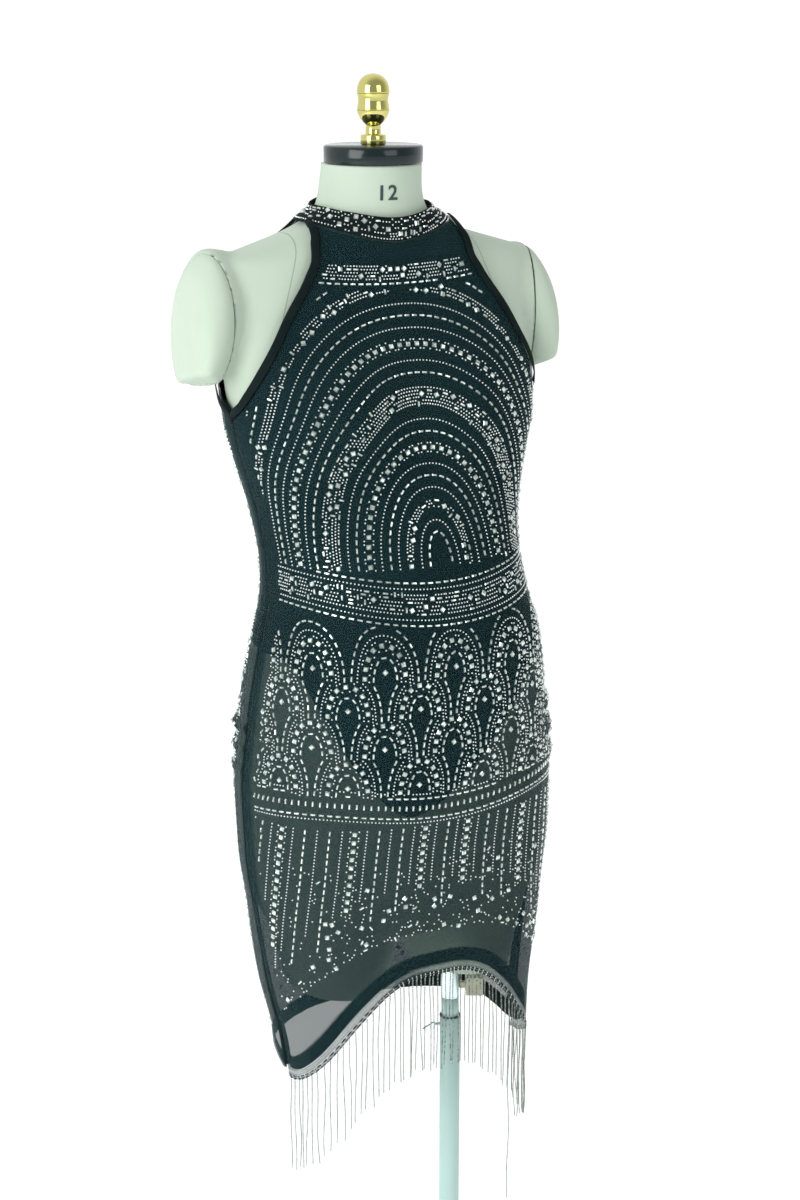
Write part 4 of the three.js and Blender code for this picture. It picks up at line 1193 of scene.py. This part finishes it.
black_thread = plain_finish(
    "black_thread", [(0.004, 0.008, 0.008), (0.010, 0.016, 0.016)], 200.0, 0.8, 0.1)
stitch_unit = frustum("stitch_unit", SQUARE, 0.7)
rows = [
    along_hem(distance, STITCH_PITCH, STITCH_OFF, shift)
    for distance, shift in ((UPPER_STITCHES, 0.0), (LOWER_STITCHES, 0.35))
]
place, normal, run = (np.concatenate(parts) for parts in zip(*rows))
set_pieces(
    "header_stitches", stitch_unit, place, turns_of(normal, run), [(6.8, 1.7, 0.7)] * len(place),
    black_thread, "trim_cloth",
)
white_lash = plain_finish(
    "white_lash", [(0.55, 0.62, 0.60), (0.75, 0.82, 0.80)], 300.0, 0.5, 0.3)
lash_place = [
    off_figure(*beside_edge(front_hem_edge, hung_u, np.full(STRANDS, distance)), 7.2 + rise)
    for distance in (UPPER_STITCHES, LOWER_STITCHES)
]
lash_turns = turns_of(
    figure_normal(edge_angle, edge_z), np.tile([0.3, 0.0, 1.0], (STRANDS, 1)))
set_pieces(
    "header_lashes", stitch_unit, np.concatenate(lash_place), lash_turns * 2,
    [(1.7, 1.0, 0.9)] * (2 * STRANDS), white_lash, "rhinestones",
)

# Overlocking along the upper edge of the hem band, whose cut threads stand up like a fringe.
fluff = random.Random(17)
place, normal, run = along_hem(14.4, 1.2, 4.0)
lean = np.array([fluff.uniform(-0.9, 0.9) for _ in place])
up = np.cross(normal, run)
set_pieces(
    "hem_whiskers", stitch_unit, place, turns_of(normal, up + run * lean[:, None]),
    [(fluff.uniform(2.4, 4.6), 0.7, 0.4) for _ in place], black_thread, "trim_cloth",
)


# ---------------------------------------------------------------- stones
# Hot-fixed glass stones of three cuts on the front, the back and the collar. The design is
# built by rule: nested arches over the bust, a girdle, rows of scales over the hips, a band
# of ticks and long rays that thin out above the hem. The yoke and the side strips stay bare.
DOT_SIZE, BAGUETTE_LONG, BAGUETTE_WIDE, SQUARE_SIZE = 1.9, 5.9, 2.1, 5.2
# Discs that a stone keeps clear round itself: distance along it, and radius.
SPREAD = {"dot": [(0.0, 1.5)], "dash": [(-1.9, 1.75), (1.9, 1.75)], "square": [(0.0, 3.5)]}
PITCH = {"dot": 3.9, "dash": 8.9}
CELL = 8  # side of the squares that near stones are looked up in
STONE_LIFT = 0.04
SIDE_STRIP = 28.0
YOKE_TOP, ARCHES_TOP = 1438.0, 1408.0
FRONT_BARE, BACK_BARE = 42.0, 36.0


def run_of(u, z):
    """Length along a line of points."""
    return np.concatenate([[0], np.cumsum(np.hypot(np.diff(u), np.diff(z)))])


def ways_of(u, z):
    """Directions, of length one, along a line of points."""
    du, dz = np.gradient(u), np.gradient(z)
    size = np.hypot(du, dz)
    return du / size, dz / size


def angle_at(faces, u, z):
    """Angle of a place given by its arc length from the centre line."""
    u, z = np.broadcast_arrays(np.asarray(u, float), np.asarray(z, float))
    half = arc_length(np.full(z.shape, math.pi), z)
    target = half - np.abs(u) if faces == "back" else np.abs(u)
    turn = math.pi * target / half
    for _ in range(8):
        slope = (arc_length(turn + 0.01, z) - arc_length(turn - 0.01, z)) / 0.02
        turn = np.clip(turn + (target - arc_length(turn, z)) / slope, 0.011, math.pi - 0.011)
    if faces == "back":
        return np.where(u > 0, 2 * math.pi - turn, turn)
    return np.where(u < 0, -turn, turn)


def on_cloth(faces, u, z):
    """Point on the outside of the cloth, with the cloth's rise; the collar has none."""
    angle = angle_at(faces, u, z)
    rise = 0.0 if faces == "collar" else cloth_rise(faces, angle, z)
    return off_figure(angle, z, CLOTH_OUTER + STONE_LIFT + rise)


class Layout:
    """Stones of one face, kept clear of each other and inside the face's limits."""

    def __init__(self, faces):
        self.faces = faces
        self.ceiling = YOKE_TOP
        self.kept = []
        self.cells = {}

    def free(self, discs):
        for x, y, r in discs:
            i, j = int(x // CELL), int(y // CELL)
            for cell in ((a, b) for a in (i - 1, i, i + 1) for b in (j - 1, j, j + 1)):
                for ox, oy, o in self.cells.get(cell, ()):
                    if (x - ox) ** 2 + (y - oy) ** 2 < (r + o) ** 2:
                        return False
        return True

    def put(self, u, z, heading, kind):
        c, s = math.cos(heading), math.sin(heading)
        discs = [(u + d * c, z + d * s, r) for d, r in SPREAD[kind]]
        if self.free(discs):
            for x, y, r in discs:
                self.cells.setdefault((int(x // CELL), int(y // CELL)), []).append((x, y, r))
            self.kept.append((u, z, heading, kind))

    def inside(self, u, z):
        """Whether places lie in the part of the face that carries stones."""
        u, z = np.asarray(u, float), np.asarray(z, float)
        if self.faces == "collar":
            return np.ones(u.shape, bool)
        angle = angle_at(self.faces, u, z)
        to_seam = from_centre(self.faces, angle, z)[1]
        bare = SIDE_STRIP - 8.0 * np.clip((700.0 - z) / 100.0, 0, 1)
        width = np.abs(figure_point(CENTRE[self.faces] + math.pi / 2, z)[..., 0])
        spare = reach_at(z, self.faces) - np.abs(angle - CENTRE[self.faces])
        to_armhole = spare * np.maximum(width, 60) * 0.8
        hem = hem_front(angle) + FRONT_BARE
        if self.faces == "back":
            hem = hem_back(angle) + BACK_BARE
        return (
            (z > hem) & (z < self.ceiling + 0.045 * np.abs(u))
            & np.where(z < UNDERARM, to_seam > bare, to_armhole > 16.0)
        )

    def lay(self, kind, us, zs, du, dz, turn=lambda: 0.0):
        """Stones at places that are inside, along their directions or turned from them."""
        for a, b, c, d, ok in zip(us, zs, du, dz, self.inside(us, zs)):
            if ok:
                self.put(a, b, math.atan2(d, c) + turn(), kind)

    def row(self, u, z, kind, pitch=None, shift=0.0):
        """Stones at an even pitch along a line of points."""
        run = run_of(u, z)
        step = pitch or PITCH[kind]
        at = np.arange(step / 2 + shift, run[-1], step)
        if len(at):
            us, zs = np.interp(at, run, u), np.interp(at, run, z)
            du = np.interp(at + 0.5, run, u) - np.interp(at - 0.5, run, u)
            dz = np.interp(at + 0.5, run, z) - np.interp(at - 0.5, run, z)
            self.lay(kind, us, zs, du, dz)

    def ribbon(self, u, z, width, seed):
        """A ribbon along a line: squares, baguettes set along or across, then rows of dots."""
        run, (du, dz) = run_of(u, z), ways_of(u, z)
        lots = random.Random(seed)
        lanes = max(2, round(width / 3.4))

        def lay_lane(kind, at, lane, turns):
            aside = (lane - (lanes - 1) / 2) * width / lanes
            au, az = np.interp(at, run, du), np.interp(at, run, dz)
            us, zs = np.interp(at, run, u) - az * aside, np.interp(at, run, z) + au * aside
            self.lay(kind, us, zs, au, az, lambda: lots.choice(turns))

        for kind, count, turns in (
            ("square", run[-1] / 15.0, (0, 0.79, 0.5)),
            ("dash", run[-1] * width / 90.0, (0, math.pi / 2)),
        ):
            edge = 1 if kind == "square" and lanes > 3 else 0
            for _ in range(int(count)):
                at = np.array([lots.uniform(0, run[-1])])
                lay_lane(kind, at, lots.randint(edge, lanes - 1 - edge), turns)
        for lane in range(lanes):
            lay_lane("dot", np.arange(1.0 + 1.7 * (lane % 2), run[-1], 3.4), lane, (0.0,))

    def beaded(self, u, z, gap=4.6):
        """A row of squares with a dot on either side of each gap."""
        self.row(u, z, "square", 10.4)
        du, dz = ways_of(u, z)
        for side in (-gap, gap):
            self.row(u - dz * side, z + du * side, "dot", 3.8)
        self.row(u, z, "dot", 5.2)

    def line(self, u, z, kind, seed=0):
        if kind == "beaded":
            self.beaded(u, z)
        elif kind.startswith("ribbon"):
            self.ribbon(u, z, float(kind[6:]), seed)
        else:
            self.row(u, z, kind)


def arch(centre_u, foot_z, half_wide, tall, power=2.2):
    t = np.linspace(0, math.pi, 240)
    c, s = np.cos(t), np.sin(t)
    return (centre_u - half_wide * np.sign(c) * np.abs(c) ** (2 / power),
            foot_z + tall * np.abs(s) ** (2 / power))


def bodice(layout, foot_z):
    """Nested arches from the girdle up to the yoke, with a straight band under the yoke."""
    span = np.linspace(-190, 190, 200)
    rising = 1436.0 + 0.0006 * span ** 2
    layout.line(span, rising - 8, "ribbon17", 11)
    layout.line(span, rising - 20, "dash")
    layout.ceiling = ARCHES_TOP
    kinds = ["dash", "dot", "ribbon9", "dot", "dash", "dot", "beaded", "dash", "dot", "ribbon20",
             "dash", "dot", "beaded", "dot", "dash", "dot", "ribbon11", "dash", "dot", "dash"]
    out = 14.0
    for n, kind in enumerate(kinds):
        wide = float(kind[6:]) if kind.startswith("ribbon") else 9.0 if kind == "beaded" else 2.0
        out += wide / 2
        layout.line(*arch(0, foot_z, out * 0.88, out * 1.22 + 18), kind, 20 + n)
        out += wide / 2 + 8.2
    layout.ceiling = YOKE_TOP


def girdle(layout, z):
    span = np.linspace(-260, 260, 300)
    level = z - 9.0 * np.cos(span / 60.0)
    for lift, kind in ((21, "dash"), (15, "dot"), (0, "ribbon22"), (-15, "dot"), (-21, "dash")):
        layout.line(span, level + lift, kind, 51)


def scales(layout, top, rows, wide=76.0, tall=58.0, step=43.0):
    """Rows of scales, each row set half a scale aside of the one above."""
    for n in range(rows):
        foot = top - tall - n * step
        for k in range(-5, 6):
            centre = (k + 0.5 * (n % 2)) * wide
            for inset, drop, kind in ((3.5, 0, "dash"), (9.5, 9, "dot"), (17, 19, "beaded"),
                                      (26, 31, "dash")):
                layout.line(*arch(centre, foot, wide / 2 - inset, tall - drop), kind)
            if layout.inside(centre, foot + 12):
                layout.put(centre, foot + 12, 0.79, "square")


def ticks(layout, z):
    """A band of upright baguettes between double rows."""
    span = np.linspace(-260, 260, 300)
    dip = -5.0 * np.cos(span / 45.0)
    for level, kind in ((15, "dot"), (10, "dash"), (-14, "dash"), (-19, "dot")):
        layout.line(span, z + dip + level, kind)
    for u in np.arange(-256.0, 257.0, 7.6):
        if layout.inside(u, z):
            layout.put(u, z - 2 - 5.0 * math.cos(u / 45.0), math.pi / 2, "dash")


def rays(layout, top, hem):
    """Long rays that spread a little towards the hem and end at uneven lengths."""
    kinds = ["dash", "dot", "beaded", "dot", "dash", "dot"]
    ends = {"dash": 34, "beaded": 52, "dot": 62}
    down = np.linspace(0, 1, 80)
    for n in range(-20, 21):
        start, kind = n * 13.0, kinds[abs(n) % len(kinds)]
        length = top - hem(start) - ends[kind]
        bend = 0.10 * abs(n) / 20.0
        layout.line(start + np.sign(n) * bend * length * down ** 2, top - length * down, kind)


def scattered(layout, low, high, count, seed):
    """Loose stones that thin out towards the hem."""
    lots = random.Random(seed)
    for _ in range(count):
        u, lift = lots.uniform(-240, 240), lots.random() ** 1.8
        z = low(u) + lift * (high - low(u))
        if layout.inside(u, z):
            kind = lots.choices(("dot", "square", "dash"), (9, 2, 1))[0]
            layout.put(u, z, lots.uniform(0, 3.1), kind)


front, back, collar_stones = (Layout(faces) for faces in ("front", "back", "collar"))
for layout, hem, high, count, seed in (
    (front, lambda u: hem_front(u / 160.0) + FRONT_BARE, 800.0, 700, 61),
    (back, lambda u: hem_back(0.0) + BACK_BARE, 700.0, 500, 62),
):
    bodice(layout, 1124.0)
    girdle(layout, 1097.0)
    scales(layout, 1070.0, 4)
    ticks(layout, 872.0)
    rays(layout, 846.0, hem)
    scattered(layout, hem, high, count, seed)

angle = np.linspace(-3.09, 3.09, 700)
foot, height = neck_seam(angle) + 2.4, collar_top(angle) - neck_seam(angle) - 4.6
lots = random.Random(71)
for kind, count, turns in (("square", 34, (0, 0.79)), ("dash", 150, (0, math.pi / 2))):
    for _ in range(count):
        k = lots.randrange(len(angle))
        lane = lots.uniform(0.12, 0.88)
        z = foot[k] + lane * height[k]
        u = float(arc_length(angle[k:k + 1], z[None])[0])
        collar_stones.put(u, z, lots.choice(turns), kind)
for lane in range(8):
    z = foot + height * lane / 7
    collar_stones.row(arc_length(angle, z), z, "dot", 3.4, 1.7 * (lane % 2))

# The stones' colour drifts between dull and bright from stone to stone: painted sparkle that stands
# in for glints off their facets.
foil_painted_sparkle, _, _ = painted("foiled_glass_painted_sparkle", [(0.66, 0.74, 0.72), (0.98, 1.0, 0.99)], 330.0, 1.0,
                     Metallic=0.35, Roughness=0.3)
cut_glass_painted_sparkle, _, _ = painted("cut_glass_painted_sparkle", [(0.34, 0.42, 0.39), (0.78, 0.86, 0.81)], 330.0, 1.0,
                          Metallic=0.6, Roughness=0.16)
hexagon = [(math.cos(a), math.sin(a)) for a in np.arange(6) * math.pi / 3]
UNITS = {
    "dot": (frustum("dot_unit", hexagon, 0.58), (DOT_SIZE / 2, DOT_SIZE / 2, 0.9), foil_painted_sparkle),
    "dash": (frustum("dash_unit", SQUARE, 0.74), (BAGUETTE_LONG, BAGUETTE_WIDE, 1.2), cut_glass_painted_sparkle),
    "square": (frustum("square_unit", SQUARE, 0.66), (SQUARE_SIZE, SQUARE_SIZE, 1.5), cut_glass_painted_sparkle),
}
for layout in (front, back, collar_stones):
    lots = random.Random(5)
    for kind, (unit, size, material) in UNITS.items():
        chosen = [row[:3] for row in layout.kept if row[3] == kind]
        u, z, heading = np.array(chosen).T
        across = on_cloth(layout.faces, u + 1, z) - on_cloth(layout.faces, u - 1, z)
        rising = on_cloth(layout.faces, u, z + 1) - on_cloth(layout.faces, u, z - 1)
        tip = np.array([[lots.uniform(-0.07, 0.07) for _ in range(3)] for _ in chosen])
        normal = to_length_one(np.cross(across, rising)) + tip
        run = across * np.cos(heading)[:, None] + rising * np.sin(heading)[:, None]
        set_pieces(
            f"{layout.faces}_{kind}s", unit, on_cloth(layout.faces, u, z), turns_of(normal, run),
            [size] * len(chosen), material, "rhinestones",
        )


# ---------------------------------------------------------------- sheets
# What each cloth piece was cut to: its grid laid flat. The panels and the lining are knits, cut
# narrower than they lie here and stretched over the form.
STRETCH = 1.06


def cut_of(outer, stretch=1.0):
    """Flat width and length in metres, and the flat area, of a sheet given by its grid."""
    outer = outer * MM
    round_body = np.linalg.norm(np.diff(outer, axis=0), axis=2).sum(axis=0).max() / stretch
    up_body = np.linalg.norm(np.diff(outer, axis=1), axis=2).sum(axis=1).max()
    corner = outer[:-1, :-1]
    beside, across, above = outer[1:, :-1] - corner, outer[1:, 1:] - corner, outer[:-1, 1:] - corner
    area = 0.5 * sum(
        np.linalg.norm(np.cross(a, b), axis=2).sum() for a, b in ((beside, across), (across, above))
    ) / stretch
    return (round_body, up_body), min(area, round_body * up_body)


front_trims = [
    "header_film", "tape_strip", "fringe_strands", "loose_beads", "header_stitches",
    "header_lashes", "hem_whiskers", "seam_welt_left", "seam_welt_right", "front_dots",
    "front_dashs", "front_squares",
]
back_trims = [
    "seam_allowance_left", "seam_allowance_right", "back_hem_fold",
    "back_dots", "back_dashs", "back_squares",
]
collar_trims = ["collar_dots", "collar_dashs", "collar_squares"]
for name, stretch, held, rests_on, trims in (
    ("dress_front", STRETCH, "stretched", ["bodysuit_front", "form_body"], front_trims),
    ("dress_back", STRETCH, "stretched", ["bodysuit_back", "form_body"], back_trims),
    ("bodysuit_front", STRETCH, "stretched", ["form_body"], []),
    ("bodysuit_back", STRETCH, "stretched", ["form_body"], []),
    ("collar_band", 1.0, "stretched", ["form_body"], collar_trims),
    ("binding_left", 1.0, "folded", ["dress_front", "dress_back"], []),
    ("binding_right", 1.0, "folded", ["dress_front", "dress_back"], []),
    ("hem_band", 1.0, "hung", ["dress_front"], []),
):
    flat, area = cut_of(SHEETS[name], stretch)
